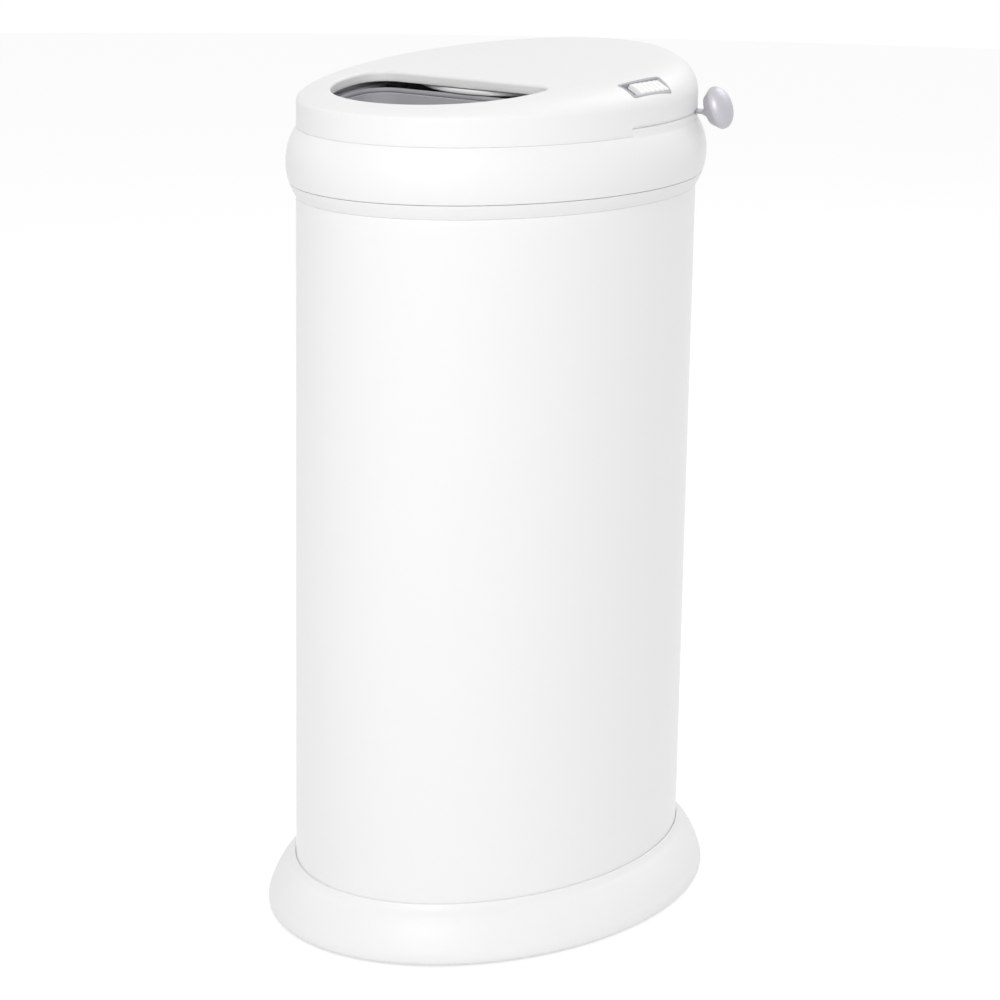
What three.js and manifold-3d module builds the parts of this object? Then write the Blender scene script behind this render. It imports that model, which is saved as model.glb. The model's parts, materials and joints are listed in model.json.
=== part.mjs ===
// Oval steel nappy bin with a sloping plastic lid, a sliding mouth door and a side knob.
// Millimetres, +Z up, -Y is the front, +Y the hinge side. The origin is on the floor under the middle.

import * as THREE from 'three';
import { mergeVertices } from 'three/addons/utils/BufferGeometryUtils.js';
import Module from 'manifold-3d';

const wasm = await Module();
wasm.setup();

// Driving dimensions
const bodyHalfWidth = 117;
const bodyHalfDepth = 161;
const bodyTopHeight = 491.6;
const steelWall = 1.2;
const steelFootHeight = 9;
const seatGap = 0.3;
const slideGap = 0.4;
const plasticWall = 2.5;
const overrun = 20;
const ovalSides = 48;
const roundSides = 16;
const smallSides = 8;
const cornerSteps = 5;
const frontSteps = 20;

// Base, its floor and feet
const baseTopHeight = 38;
const baseBottomHeight = 1.5;
const baseFlare = 19;
const floorThickness = 1.2;
const footRadius = 14;
const footChamfer = 1.5;
const footPlugRadius = 4;
const footPlaceShare = { x: 0.62, y: 0.66 };
const baseScrewPlaceShare = { x: 0.4, y: 0.45 };
const baseScrewLength = 6.5;

// Bulged ring that the collar and the lid share
const bulgeHeight = 44.8;
const bulgeDepth = 6.9;
const collarHeight = 9.4;
const collarPlugDepth = 23;
const collarPlugWall = 3;
const collarInnerWidth = 10;
const ledgeWidth = 6;
const ledgeDrop = 11;
const bagRingWall = 2.5;
const bagRingSkirt = 28;

// Lid
const lidWall = 3;
const lidWallHeight = 17.3;
const shoulderRise = 16.8;
const topSlopeShare = 0.07;
const shoulderWidth = 28;
const spigotWall = 2;
const spigotHeight = 4.6;
const spigotDepth = 3.4;
const sealHeight = 3.3;
const sealWidth = 3.5;
const panDrop = 7.4;
const panThickness = 3;

// Mouth, door and rails, in the plane of the sloping top
const mouthSideInset = 44;
const mouthFrontInset = 21;
const mouthSideLength = 2;
const mouthRearY = -42;
const mouthCornerRadius = 18;
const mouthLipDepth = 7.2;
const mouthLipWidth = 2.5;
const doorOverlap = 7;
const doorRearY = 5;
const doorCornerRadius = 25;
const doorGap = 0.8;
const doorThickness = 3;
const doorShow = 1;
const railWidth = 2.5;
const railLedge = 4.4;
const railLead = 26;
const railRearInset = 17;
const chuteWall = 2.5;
const chuteFlange = 6;
const mouthSealThickness = 2.7;
const mouthSealGap = 0.5;

// Side knob, its flat stem and the fork that the door drives it with
const knobRearInset = 17;
const knobReachSpare = 2.1;
const knobStandOff = 9.6;
const knobRise = 3;
const knobRadius = 14.5;
const knobBackRadius = 11;
const knobDepth = 16;
const knobRim = 5;
const knobWall = 2.6;
const knobTurnDegrees = 15;
const knobLiftDegrees = 20;
const knobPlateThickness = 2.2;
const knobCoreRadius = 7;
const knobCoreHeight = 7;
const knobGripDepth = 5.8;
const knobPinRadius = 1;
const knobPinLength = 8;
const stemRise = 5.2;
const stemWidth = 14;
const stemThickness = 2;
const stemShoulderGap = 3;
const tongueWidth = 5;
const tongueDepth = 8.5;
const clipInset = 1.5;
const clipThickness = 1.5;
const clipRim = 3;
const clipNotch = 2;
const slotClearance = 0.4;
const forkInset = 11;
const forkThickness = 9;
const forkProng = 3.5;
const forkFoot = 3.8;

// Child lock on the right shoulder
const lockY = 9;
const lockInset = 8.8;
const lockLength = 47;
const lockWidth = 15;
const lockWall = 1.5;
const lockTrayDepth = 5;
const lockProud = 0.4;
const lockSliderLength = 33;
const lockSliderHeight = 3.6;
const lockTravel = 10;
const lockProngWidth = 2.5;
const lockProngDrop = 5;
const pawlPivotOffset = 9.2;
const pawlPivotDepth = 17.6;
const pawlThickness = 4;
const pawlLength = 22;
const pawlCrank = 9.2;
const pawlHubRadius = 4;
const pawlTipRadius = 3;
const pawlNoseRadius = 1.5;
const pawlTurnDegrees = 27;
const pawlEarThickness = 2.5;
const pinRadius = 1.5;

// Hinge at the rear
const hingeStandOff = 10;
const hingeRise = 0.4;
const hingeHalfWidth = 28;
const leafHalfWidth = 9.5;
const knuckleRadius = 4.5;
const hingePinRadius = 2.5;
const hingePinProud = 1;
const bracketHeight = 25;
const bracketThickness = 6;
const bracketArmDrop = 9;
const bracketScrewX = 19;
const bracketScrewDrop = 17;
const bracketScrewLength = 13;
const leafHeight = 30;
const leafStandOff = 11.6;
const leafScrewRises = [17, 25];
const leafScrewLength = 11;

// Magnet that holds the lid shut at the front
const magnetHalfWidth = 10;
const magnetThickness = 5;
const magnetHeight = 5.8;
const magnetInset = 3.7;
const keeperThickness = 1.8;
const holderWall = 2.2;
const holderRise = 3.8;

// Screws
const screwRadius = 1.5;
const screwHeadRadius = 3.5;
const screwHeadHeight = 2;
const bossRadius = 4.5;
const bossInset = 6.5;
const bossScrewDepth = 9.5;
const bossAngles = [60, 120, 180, 238, 302, 332];

const halfTurn = Math.PI;
const degree = halfTurn / 180;
const slopeAngle = Math.atan(topSlopeShare);
const lidSplitHeight = bodyTopHeight + collarHeight;
const bulgeMidHeight = bodyTopHeight + bulgeHeight / 2;
const creaseHeight = bodyTopHeight + bulgeHeight;
const lidWallTopHeight = creaseHeight + lidWallHeight;
const topHeight = lidWallTopHeight + shoulderRise;
const panHeight = creaseHeight - panDrop;
const stemHeight = creaseHeight + stemRise;
const mouthHalfWidth = bodyHalfWidth - mouthSideInset;
const mouthFrontY = mouthFrontInset - bodyHalfDepth;
const mouthSideY = mouthRearY - mouthCornerRadius - mouthSideLength;
const doorDrop = mouthLipDepth + doorGap;
const doorTravel = mouthRearY - mouthFrontY + doorOverlap - doorShow;
const doorOpenRearY = doorRearY + doorTravel;
const knobRestY = doorOpenRearY - knobRearInset;
const knobShutY = knobRestY - doorTravel * Math.cos(slopeAngle);
const forkInnerX = mouthHalfWidth - forkInset;
const hingeAxisY = bodyHalfDepth + hingeStandOff;
const hingeAxisHeight = bodyTopHeight + hingeRise;
const baseFloorTop = steelFootHeight - seatGap;
const baseFloorBottom = baseFloorTop - plasticWall;
const holeRadius = screwRadius + seatGap;

const finish = (name, color, roughness, metalness) =>
  Object.assign(new THREE.MeshStandardMaterial({ color, roughness, metalness }), { name });
const whiteSteel = finish('white_powder_coat', 0xf4f4f3, 0.35, 0.2);
const whitePlastic = finish('white_plastic', 0xf6f6f5, 0.4, 0);
const innerPlastic = finish('inner_grey_plastic', 0xbcbcc1, 0.5, 0);
const silver = finish('silver_knob', 0xc8c7cf, 0.3, 0.6);
const brightSteel = finish('bright_steel', 0xb9bbc0, 0.3, 0.9);
const rubber = finish('grey_rubber', 0x6c6e74, 0.85, 0);

// Solid of a closed geometry, turned the right way out
function solid(geometry) {
  const bare = geometry.index ? geometry.toNonIndexed() : geometry.clone();
  bare.deleteAttribute('normal');
  bare.deleteAttribute('uv');
  const merged = mergeVertices(bare);
  const corners = Array.from(merged.index.array);
  const outward = [];
  const inward = [];
  for (let i = 0; i < corners.length; i += 3) {
    const [a, b, c] = corners.slice(i, i + 3);
    if (a === b || b === c || c === a) continue;
    outward.push(a, b, c);
    inward.push(a, c, b);
  }
  const vertProperties = new Float32Array(merged.attributes.position.array);
  const body = (list) => new wasm.Manifold(
    new wasm.Mesh({ numProp: 3, vertProperties, triVerts: new Uint32Array(list) }));
  const first = body(outward);
  return first.volume() > 0 ? first : body(inward);
}

function geometryOf(body) {
  const mesh = body.getMesh();
  const geometry = new THREE.BufferGeometry();
  geometry.setAttribute('position', new THREE.BufferAttribute(new Float32Array(mesh.vertProperties), 3));
  geometry.setIndex(Array.from(mesh.triVerts));
  geometry.computeVertexNormals();
  return geometry;
}

const cut = (body, ...tools) => tools.flat().reduce((left, tool) => left.subtract(tool), body);
const join = (body, ...others) => others.flat().reduce((sum, other) => sum.add(other), body);

const box = (x0, x1, y0, y1, z0, z1) => solid(new THREE.BoxGeometry(x1 - x0, y1 - y0, z1 - z0)
  .translate((x0 + x1) / 2, (y0 + y1) / 2, (z0 + z1) / 2));

const upright = (radius, x, y, z0, z1, sides = smallSides) =>
  solid(new THREE.CylinderGeometry(radius, radius, z1 - z0, sides)
    .rotateX(halfTurn / 2).translate(x, y, (z0 + z1) / 2));

const alongX = (radius, x0, x1, y, z, sides = roundSides) =>
  solid(new THREE.CylinderGeometry(radius, radius, x1 - x0, sides)
    .rotateZ(halfTurn / 2).translate((x0 + x1) / 2, y, z));

const alongY = (radius, x, y0, y1, z, sides = smallSides) =>
  solid(new THREE.CylinderGeometry(radius, radius, y1 - y0, sides).translate(x, (y0 + y1) / 2, z));

// Lathe solid about Z from a closed list of [radius, height]
const turned = (profile, sides = roundSides) => solid(new THREE.LatheGeometry(
  [...profile, profile[0]].map(([radius, height]) => new THREE.Vector2(radius, height)), sides)
  .rotateX(halfTurn / 2));

const raise = (shape, z0, z1) => solid(
  new THREE.ExtrudeGeometry(shape, { depth: z1 - z0, bevelEnabled: false }).translate(0, 0, z0));

// Ring round the oval: its section is a closed list of [offset from the body's outside, height]
function ovalRing(section, heightAt = (y, z) => z) {
  const points = [...section, section[0]].map(([offset, height]) =>
    new THREE.Vector2(bodyHalfWidth + offset, height));
  const geometry = new THREE.LatheGeometry(points, ovalSides).rotateX(halfTurn / 2);
  const place = geometry.attributes.position;
  for (let i = 0; i < place.count; i++) {
    const radius = Math.hypot(place.getX(i), place.getY(i));
    const angle = Math.atan2(place.getY(i), place.getX(i));
    const y = radius > 0 ? (radius - bodyHalfWidth + bodyHalfDepth) * Math.sin(angle) : 0;
    place.setXYZ(i, radius * Math.cos(angle), y, heightAt(y, place.getZ(i)));
  }
  return solid(geometry);
}

const ovalPoint = (offset, angle) =>
  new THREE.Vector2((bodyHalfWidth + offset) * Math.cos(angle), (bodyHalfDepth + offset) * Math.sin(angle));

const ovalPlate = (offset, z0, z1) => raise(new THREE.Shape(
  Array.from({ length: ovalSides }, (_, i) => ovalPoint(offset, i / ovalSides * 2 * halfTurn))), z0, z1);

const wallX = (y) => bodyHalfWidth * Math.sqrt(1 - (y / bodyHalfDepth) ** 2);
const knobReach = wallX(knobShutY) - wallX(knobRestY) + knobReachSpare;

// Circular arc of the bulge: how far it stands out at a height
function bulgeOut(height) {
  const half = bulgeHeight / 2;
  const radius = (half * half + bulgeDepth * bulgeDepth) / (2 * bulgeDepth);
  const away = Math.min(Math.abs(height - bulgeMidHeight), half);
  return Math.sqrt(radius * radius - away * away) - (radius - bulgeDepth);
}

const bulgeRun = (from, to, steps, inset) => Array.from({ length: steps + 1 }, (_, i) => {
  const height = from + (to - from) * i / steps;
  return [bulgeOut(height) - inset, height];
});

// The lid's upper part is sheared, so that its flat top rises towards the rear
function slopedHeight(y, z) {
  const share = (z - lidWallTopHeight) / (shoulderRise - lidWall);
  return z + topSlopeShare * y * Math.min(Math.max(share, 0), 1);
}

const shoulderRun = (inset, steps) => Array.from({ length: steps + 1 }, (_, i) => {
  const angle = i / steps * halfTurn / 2;
  const rise = Math.min(shoulderRise - inset, shoulderRise);
  return [-inset - (shoulderWidth - inset) * (1 - Math.cos(angle)),
    lidWallTopHeight + rise * Math.sin(angle)];
});

// Everything inside a surface that lies an inset within the lid's outside, from a height up
const lidFill = (inset, from, steps) => ovalRing([
  [-bodyHalfWidth, from],
  [-inset, from],
  ...shoulderRun(inset, steps),
  [-bodyHalfWidth, topHeight - inset],
], slopedHeight);

// Frame of the sloping top: x across, y up the slope, z out of the top
const topMatrix = new THREE.Matrix4().makeRotationX(slopeAngle).setPosition(0, 0, topHeight);
const placed = (body, matrix) => solid(geometryOf(body).applyMatrix4(matrix));
const inTop = (body) => placed(body, topMatrix);
const fromTop = (body) => placed(body, topMatrix.clone().invert());
const reach = 2 * bodyHalfDepth;

// Points of an elliptic arc
const arc = (x, y, radiusX, radiusY, from, to, steps) => Array.from({ length: steps + 1 }, (_, i) => {
  const angle = from + (to - from) * i / steps;
  return new THREE.Vector2(x + radiusX * Math.cos(angle), y + radiusY * Math.sin(angle));
});

// Mouth outline, let out by a margin: half an ellipse in front, rounded corners behind
function mouthShape(margin, rear = mouthRearY, corner = mouthCornerRadius, shift = 0) {
  const half = mouthHalfWidth + margin;
  const radius = corner + margin;
  const back = rear + margin + shift;
  const front = mouthSideY - mouthFrontY + margin;
  return new THREE.Shape([
    ...arc(half - radius, back - radius, radius, radius, 0, halfTurn / 2, cornerSteps),
    ...arc(-half + radius, back - radius, radius, radius, halfTurn / 2, halfTurn, cornerSteps),
    ...arc(0, mouthSideY + shift, half, front, halfTurn, 2 * halfTurn, frontSteps),
  ]);
}

const mouthPrism = (margin, z0, z1) => raise(mouthShape(margin), z0, z1);
const mouthRing = (outer, z0, z1) =>
  cut(mouthPrism(outer, z0, z1), mouthPrism(0, z0 - overrun, z1 + overrun));

const bin = new THREE.Group();
const topFrame = new THREE.Group();
topFrame.position.set(0, 0, topHeight);
topFrame.rotation.x = slopeAngle;
bin.add(topFrame);

function add(name, body, material, parent = bin) {
  const mesh = new THREE.Mesh(geometryOf(body), material);
  mesh.name = name;
  parent.add(mesh);
}

// Places of the repeated pieces
const signs = [[1, -1], [-1, -1], [1, 1], [-1, 1]];
const atShare = (share) => signs.map(([sideX, sideY]) =>
  [sideX * share.x * bodyHalfWidth, sideY * share.y * bodyHalfDepth]);
const footPlaces = atShare(footPlaceShare);
const baseScrewPlaces = atShare(baseScrewPlaceShare);
const bossPlaces = bossAngles.map((angle) => ovalPoint(-bossInset, angle * degree).toArray());
const uprightHoles = (places, radius, z0, z1, sides) =>
  places.map(([x, y]) => upright(radius, x, y, z0, z1, sides));

// Screw along Z with its head below the seat
const screwUp = (x, y, seat, tip) =>
  join(upright(screwHeadRadius, x, y, seat - screwHeadHeight, seat), upright(screwRadius, x, y, seat, tip));

// Screw along Y with its head behind the seat
const screwForward = (x, z, seat, tip) =>
  join(alongY(screwHeadRadius, x, seat, seat + screwHeadHeight, z), alongY(screwRadius, x, tip, seat, z));

// Steel body: an oval tube that stands in the base
const bracketScrewZ = hingeAxisHeight - bracketScrewDrop;
const bracketScrewXs = [-bracketScrewX, bracketScrewX];
const bracketFaceY = bodyHalfDepth + bracketThickness;
const bracketHoles = bracketScrewXs.map((x) =>
  alongY(holeRadius, x, bodyHalfDepth - overrun, bodyHalfDepth + overrun, bracketScrewZ));
add('steel_body', cut(ovalRing([
  [0, steelFootHeight],
  [0, bodyTopHeight],
  [-steelWall, bodyTopHeight],
  [-steelWall, steelFootHeight],
]), bracketHoles), whiteSteel);

// Base: a flared skirt round a sleeve and a floor, open below
const flareShares = [
  [0.9, 0], [0.985, 0.055], [1, 0.165], [0.9, 0.34], [0.71, 0.56], [0.37, 0.81], [0.16, 0.93], [0.09, 1],
];
const hollowPoints = 4;
const flareRun = flareShares.map(([out, up]) =>
  [baseFlare * out, baseBottomHeight + (baseTopHeight - baseBottomHeight) * up]);
const hollowRun = flareRun.slice(0, hollowPoints)
  .map(([out, height], i) => [out - plasticWall, i ? height - plasticWall / 2 : height]).reverse();
const sleeveOffset = seatGap + plasticWall / 2;
add('base_skirt', cut(ovalRing([
  ...flareRun,
  [seatGap, baseTopHeight],
  [seatGap, baseFloorTop],
  [-bodyHalfWidth, baseFloorTop],
  [-bodyHalfWidth, baseFloorBottom],
  [sleeveOffset, baseFloorBottom],
  [sleeveOffset, hollowRun[0][1]],
  ...hollowRun,
]),
uprightHoles(footPlaces, footPlugRadius + seatGap,
  baseFloorBottom - overrun, baseFloorTop + overrun, roundSides),
uprightHoles(baseScrewPlaces, holeRadius, baseFloorBottom - overrun, baseFloorTop + overrun)), whitePlastic);

add('floor_pan', cut(
  ovalPlate(-steelWall - seatGap, steelFootHeight, steelFootHeight + floorThickness),
  uprightHoles(baseScrewPlaces, holeRadius, 0, steelFootHeight + overrun)), brightSteel);

const baseScrewSeat = baseFloorBottom - seatGap;
baseScrewPlaces.forEach(([x, y], i) => add(`base_screw_${i + 1}`,
  screwUp(x, y, baseScrewSeat, baseScrewSeat + baseScrewLength), brightSteel));

footPlaces.forEach(([x, y], i) => {
  const top = baseFloorBottom - seatGap;
  const foot = turned([
    [0, 0],
    [footRadius - footChamfer, 0],
    [footRadius, footChamfer],
    [footRadius, top],
    [footPlugRadius, top],
    [footPlugRadius, baseFloorTop - seatGap],
    [0, baseFloorTop - seatGap],
  ]);
  const group = new THREE.Group();
  group.position.set(x, y, 0);
  bin.add(group);
  add(`foot_${i + 1}`, foot, rubber, group);
});

// Collar: the lower flank of the bulge, a plug inside the steel, and a ledge for the bag ring
const ledgeHeight = lidSplitHeight - ledgeDrop;
const plugOffset = -steelWall - seatGap;
const keeperOuterY = -bodyHalfDepth + magnetInset;
const keeperInnerY = keeperOuterY + magnetThickness;
const keeperPocket = box(
  -magnetHalfWidth - seatGap, magnetHalfWidth + seatGap, keeperOuterY - seatGap, keeperInnerY + seatGap,
  lidSplitHeight - keeperThickness - 2 * seatGap, lidSplitHeight + overrun);
add('body_collar', cut(ovalRing([
  ...bulgeRun(bodyTopHeight + seatGap, lidSplitHeight, 3, 0),
  [-collarInnerWidth, lidSplitHeight],
  [-collarInnerWidth, ledgeHeight],
  [-collarInnerWidth - ledgeWidth, ledgeHeight],
  [-collarInnerWidth - ledgeWidth, ledgeHeight - plasticWall],
  [plugOffset - collarPlugWall, ledgeHeight - plasticWall],
  [plugOffset - collarPlugWall, bodyTopHeight - collarPlugDepth],
  [plugOffset, bodyTopHeight - collarPlugDepth],
  [plugOffset, bodyTopHeight + seatGap],
]), bracketHoles, keeperPocket), whitePlastic);

add('keeper_plate', box(-magnetHalfWidth, magnetHalfWidth, keeperOuterY, keeperInnerY,
  lidSplitHeight - keeperThickness - seatGap, lidSplitHeight - seatGap), brightSteel);

// Ring that holds the rim of the bag; it lifts out
const ringOuter = -collarInnerWidth - seatGap;
const ringSkirt = -collarInnerWidth - ledgeWidth - seatGap;
const ringSeat = ledgeHeight + seatGap;
const ringTop = lidSplitHeight - seatGap;
add('bag_ring', ovalRing([
  [ringOuter, ringSeat],
  [ringOuter, ringTop],
  [ringOuter - bagRingWall, ringTop],
  [ringSkirt - bagRingWall, ringSeat + bagRingWall],
  [ringSkirt - bagRingWall, ringSeat - bagRingSkirt],
  [ringSkirt, ringSeat - bagRingSkirt],
  [ringSkirt, ringSeat],
]), innerPlastic);

// Hinge bracket: a plate on the rear of the body with two knuckles
const knuckleGap = leafHalfWidth + slideGap;
const bracketSides = [[-hingeHalfWidth, -knuckleGap], [knuckleGap, hingeHalfWidth]];
const hingeBore = alongX(hingePinRadius + seatGap, -reach, reach, hingeAxisY, hingeAxisHeight);
const plateTop = bodyTopHeight - seatGap;
add('hinge_bracket', cut(
  join(
    box(-hingeHalfWidth, hingeHalfWidth, bodyHalfDepth - overrun, bracketFaceY,
      plateTop - bracketHeight, plateTop),
    bracketSides.map(([x0, x1]) =>
      box(x0, x1, bodyHalfDepth, hingeAxisY, hingeAxisHeight - bracketArmDrop, plateTop)),
    bracketSides.map(([x0, x1]) => alongX(knuckleRadius, x0, x1, hingeAxisY, hingeAxisHeight)),
  ),
  ovalPlate(seatGap, 0, topHeight),
  alongX(knuckleRadius + 2 * slideGap, -knuckleGap, knuckleGap, hingeAxisY, hingeAxisHeight),
  hingeBore,
  bracketHoles,
), whitePlastic);

add('hinge_pin', alongX(hingePinRadius, -hingeHalfWidth - hingePinProud, hingeHalfWidth + hingePinProud,
  hingeAxisY, hingeAxisHeight), brightSteel);

bracketScrewXs.forEach((x, i) => add(`bracket_screw_${i + 1}`, screwForward(
  x, bracketScrewZ, bracketFaceY + seatGap, bracketFaceY + seatGap - bracketScrewLength), brightSteel));

// Lid ring: the bulge above the parting line, a spigot for the cover and bosses for the pan
const slotFrontY = knobShutY - stemWidth / 2 - slotClearance;
const slotRearY = knobRestY + stemWidth / 2 + slotClearance;
const slotBottom = stemHeight - stemThickness / 2 - slotClearance;
const slotTop = stemHeight + stemThickness / 2 + slotClearance;
const ringBottom = lidSplitHeight + slideGap;
const spigotOuter = -lidWall - seatGap;
const spigotInner = spigotOuter - spigotWall;
const slotBlock = (margin, z0, z1) =>
  box(bodyHalfWidth / 2, reach, slotFrontY - margin, slotRearY + margin, z0, z1);
const sill = ovalRing([
  [0, creaseHeight - lidWall],
  [0, slotBottom],
  [spigotInner, slotBottom],
  [spigotInner, creaseHeight - lidWall],
]).intersect(slotBlock(-seatGap, 0, topHeight));
const holderInnerY = keeperInnerY + holderWall;
const holderHalfWidth = magnetHalfWidth + holderWall + seatGap;
const sealTop = ringBottom + sealHeight;
const magnetBottom = ringBottom + seatGap;
const holder = [
  box(-holderHalfWidth, holderHalfWidth, -bodyHalfDepth - bulgeDepth + lidWall, holderInnerY,
    sealTop + seatGap, magnetBottom + magnetHeight + holderRise),
  box(-holderHalfWidth, holderHalfWidth, keeperOuterY - seatGap, holderInnerY, ringBottom, sealTop + lidWall),
];
const magnetPocket = box(-magnetHalfWidth - seatGap, magnetHalfWidth + seatGap,
  keeperOuterY, keeperInnerY + seatGap, 0, magnetBottom + magnetHeight + seatGap);
const leafScrewZs = leafScrewRises.map((rise) => hingeAxisHeight + rise);
const leafHoles = leafScrewZs.map((z) => alongY(holeRadius, 0, bodyHalfDepth - overrun, reach, z));
const bossBottom = panHeight + seatGap;
const bossTop = creaseHeight + spigotHeight;
const lidRing = ovalRing([
  ...bulgeRun(ringBottom, creaseHeight, 7, 0),
  [spigotOuter, creaseHeight],
  [spigotOuter, bossTop],
  [spigotInner, bossTop],
  [spigotInner, creaseHeight - spigotDepth],
  ...bulgeRun(creaseHeight - spigotDepth, ringBottom, 5, lidWall),
]);
add('lid_ring', cut(
  join(cut(lidRing, slotBlock(0, slotBottom, topHeight)), sill, holder,
    uprightHoles(bossPlaces, bossRadius, bossBottom, bossTop)
      .map((boss) => boss.intersect(ovalPlate(spigotOuter, 0, topHeight)))),
  uprightHoles(bossPlaces, holeRadius, 0, bossBottom + bossScrewDepth + seatGap),
  magnetPocket,
  leafHoles,
), whitePlastic);

const sealOuter = bulgeOut(lidSplitHeight) - lidWall - seatGap;
add('lid_seal', ovalRing([
  [sealOuter, lidSplitHeight + seatGap],
  [sealOuter, sealTop],
  [sealOuter - sealWidth, sealTop],
  [sealOuter - sealWidth, lidSplitHeight + seatGap],
]), rubber);

add('lid_magnet', box(-magnetHalfWidth, magnetHalfWidth, keeperOuterY + seatGap, keeperInnerY,
  magnetBottom, magnetBottom + magnetHeight), brightSteel);

// Hinge leaf on the rear of the lid
const leafFaceY = bodyHalfDepth + leafStandOff;
const leafBody = join(
  box(-leafHalfWidth, leafHalfWidth, hingeAxisY - knuckleRadius, leafFaceY - seatGap,
    hingeAxisHeight, hingeAxisHeight + leafHeight),
  alongX(knuckleRadius, -leafHalfWidth, leafHalfWidth, hingeAxisY, hingeAxisHeight));
const bulgeKeepOut = ovalRing([
  [-bodyHalfWidth, bodyTopHeight],
  ...bulgeRun(bodyTopHeight, creaseHeight, 12, -seatGap),
  [-bodyHalfWidth, creaseHeight],
]);
add('hinge_leaf', cut(leafBody, bulgeKeepOut, hingeBore, leafHoles), whitePlastic);
leafScrewZs.forEach((z, i) => add(`leaf_screw_${i + 1}`,
  screwForward(0, z, leafFaceY, leafFaceY - leafScrewLength), brightSteel));

// Child lock frame on the right shoulder: x down the slope, y back, z out of the surface
const lockArc = Math.acos(1 - lockInset / shoulderWidth);
const lockTilt = Math.atan2(shoulderRise * Math.cos(lockArc), shoulderWidth * Math.sin(lockArc));
const lockPoint = new THREE.Vector3(
  wallX(lockY) - lockInset, lockY,
  slopedHeight(lockY, lidWallTopHeight + shoulderRise * Math.sin(lockArc)));
const lockFrame = new THREE.Group();
lockFrame.position.copy(lockPoint);
lockFrame.rotation.y = lockTilt;
bin.add(lockFrame);
const lockMatrix = new THREE.Matrix4().makeRotationY(lockTilt).setPosition(lockPoint);
const lockBlock = (halfX, y0, y1, z0, z1) => box(-halfX, halfX, y0, y1, z0, z1);

// Lid cover: the upper wall, the shoulder and the sloping top with its mouth
const lidOuter = lidFill(0, creaseHeight + seatGap, 6);
const mouthLip = inTop(mouthRing(mouthLipWidth, -mouthLipDepth, 0)).intersect(lidOuter);
const lockHole = placed(lockBlock(lockWidth / 2 + seatGap, -lockLength / 2 - seatGap,
  lockLength / 2 + seatGap, -overrun, overrun), lockMatrix);
add('lid_cover', cut(
  join(cut(lidOuter, lidFill(lidWall, creaseHeight - overrun, 4)), mouthLip),
  inTop(mouthPrism(0, -overrun, overrun)),
  slotBlock(0, 0, slotTop),
  lockHole,
), whitePlastic);

// Inner pan under the door, with the chute that the bag hangs below
const chuteBore = inTop(mouthPrism(0, -reach, overrun));
const panOffset = bulgeOut(panHeight) - lidWall - slideGap;
add('inner_pan', cut(
  ovalPlate(panOffset, panHeight - panThickness, panHeight),
  chuteBore,
  uprightHoles(bossPlaces, holeRadius, 0, topHeight),
), innerPlastic);
const panScrewSeat = panHeight - panThickness - seatGap;
bossPlaces.forEach(([x, y], i) => add(`pan_screw_${i + 1}`,
  screwUp(x, y, panScrewSeat, bossBottom + bossScrewDepth), brightSteel));

const doorUnder = doorDrop + doorThickness;
const mouthSealBottom = doorUnder + mouthSealGap + mouthSealThickness;
const chuteFoot = panHeight + seatGap;
const flangeTop = chuteFoot + chuteWall;
const chuteTube = inTop(mouthPrism(chuteWall, -reach, -mouthSealBottom - seatGap));
add('throat_chute', cut(
  join(chuteTube, raise(mouthShape(chuteWall + chuteFlange), chuteFoot, flangeTop)),
  chuteBore,
  box(-reach, reach, -reach, reach, -reach, chuteFoot),
), innerPlastic);

add('mouth_seal', mouthRing(chuteWall, -mouthSealBottom, mouthSealThickness - mouthSealBottom),
  rubber, topFrame);

// Rails hang from the cover and carry the edges of the door
const doorHalfWidth = mouthHalfWidth + doorOverlap;
const railFrontY = mouthSideY - railLead;
const railRearY = doorOpenRearY - railRearInset;
const railTop = doorUnder + slideGap;
const railBottom = railTop + railWidth;
const railInner = doorHalfWidth + slideGap;
const railRoom = fromTop(lidFill(lidWall + seatGap, creaseHeight, 4));
[['door_rail_right', 1], ['door_rail_left', -1]].forEach(([name, side]) => {
  const ends = [side * railInner, side * (railInner + railWidth)].sort((a, b) => a - b);
  const shelf = [side * (railInner - railLedge), side * (railInner + railWidth)].sort((a, b) => a - b);
  add(name, join(
    box(...ends, railFrontY, railRearY, -railBottom, 0),
    box(...shelf, railFrontY, railRearY, -railBottom, -railTop),
  ).intersect(railRoom), innerPlastic, topFrame);
});

// Sliding door, drawn open
const forkScrewYs = [knobRestY - stemWidth / 2 + screwRadius, knobRestY + stemWidth / 2 - screwRadius];
const forkMidX = forkInnerX + forkThickness / 2;
const forkHoles = forkScrewYs.map((y) => upright(holeRadius, forkMidX, y, -2 * doorUnder, 0));
add('sliding_door', cut(
  raise(mouthShape(doorOverlap, doorRearY - doorOverlap, doorCornerRadius - doorOverlap, doorTravel),
    -doorUnder, -doorDrop),
  forkHoles,
), whitePlastic, topFrame);

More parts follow.
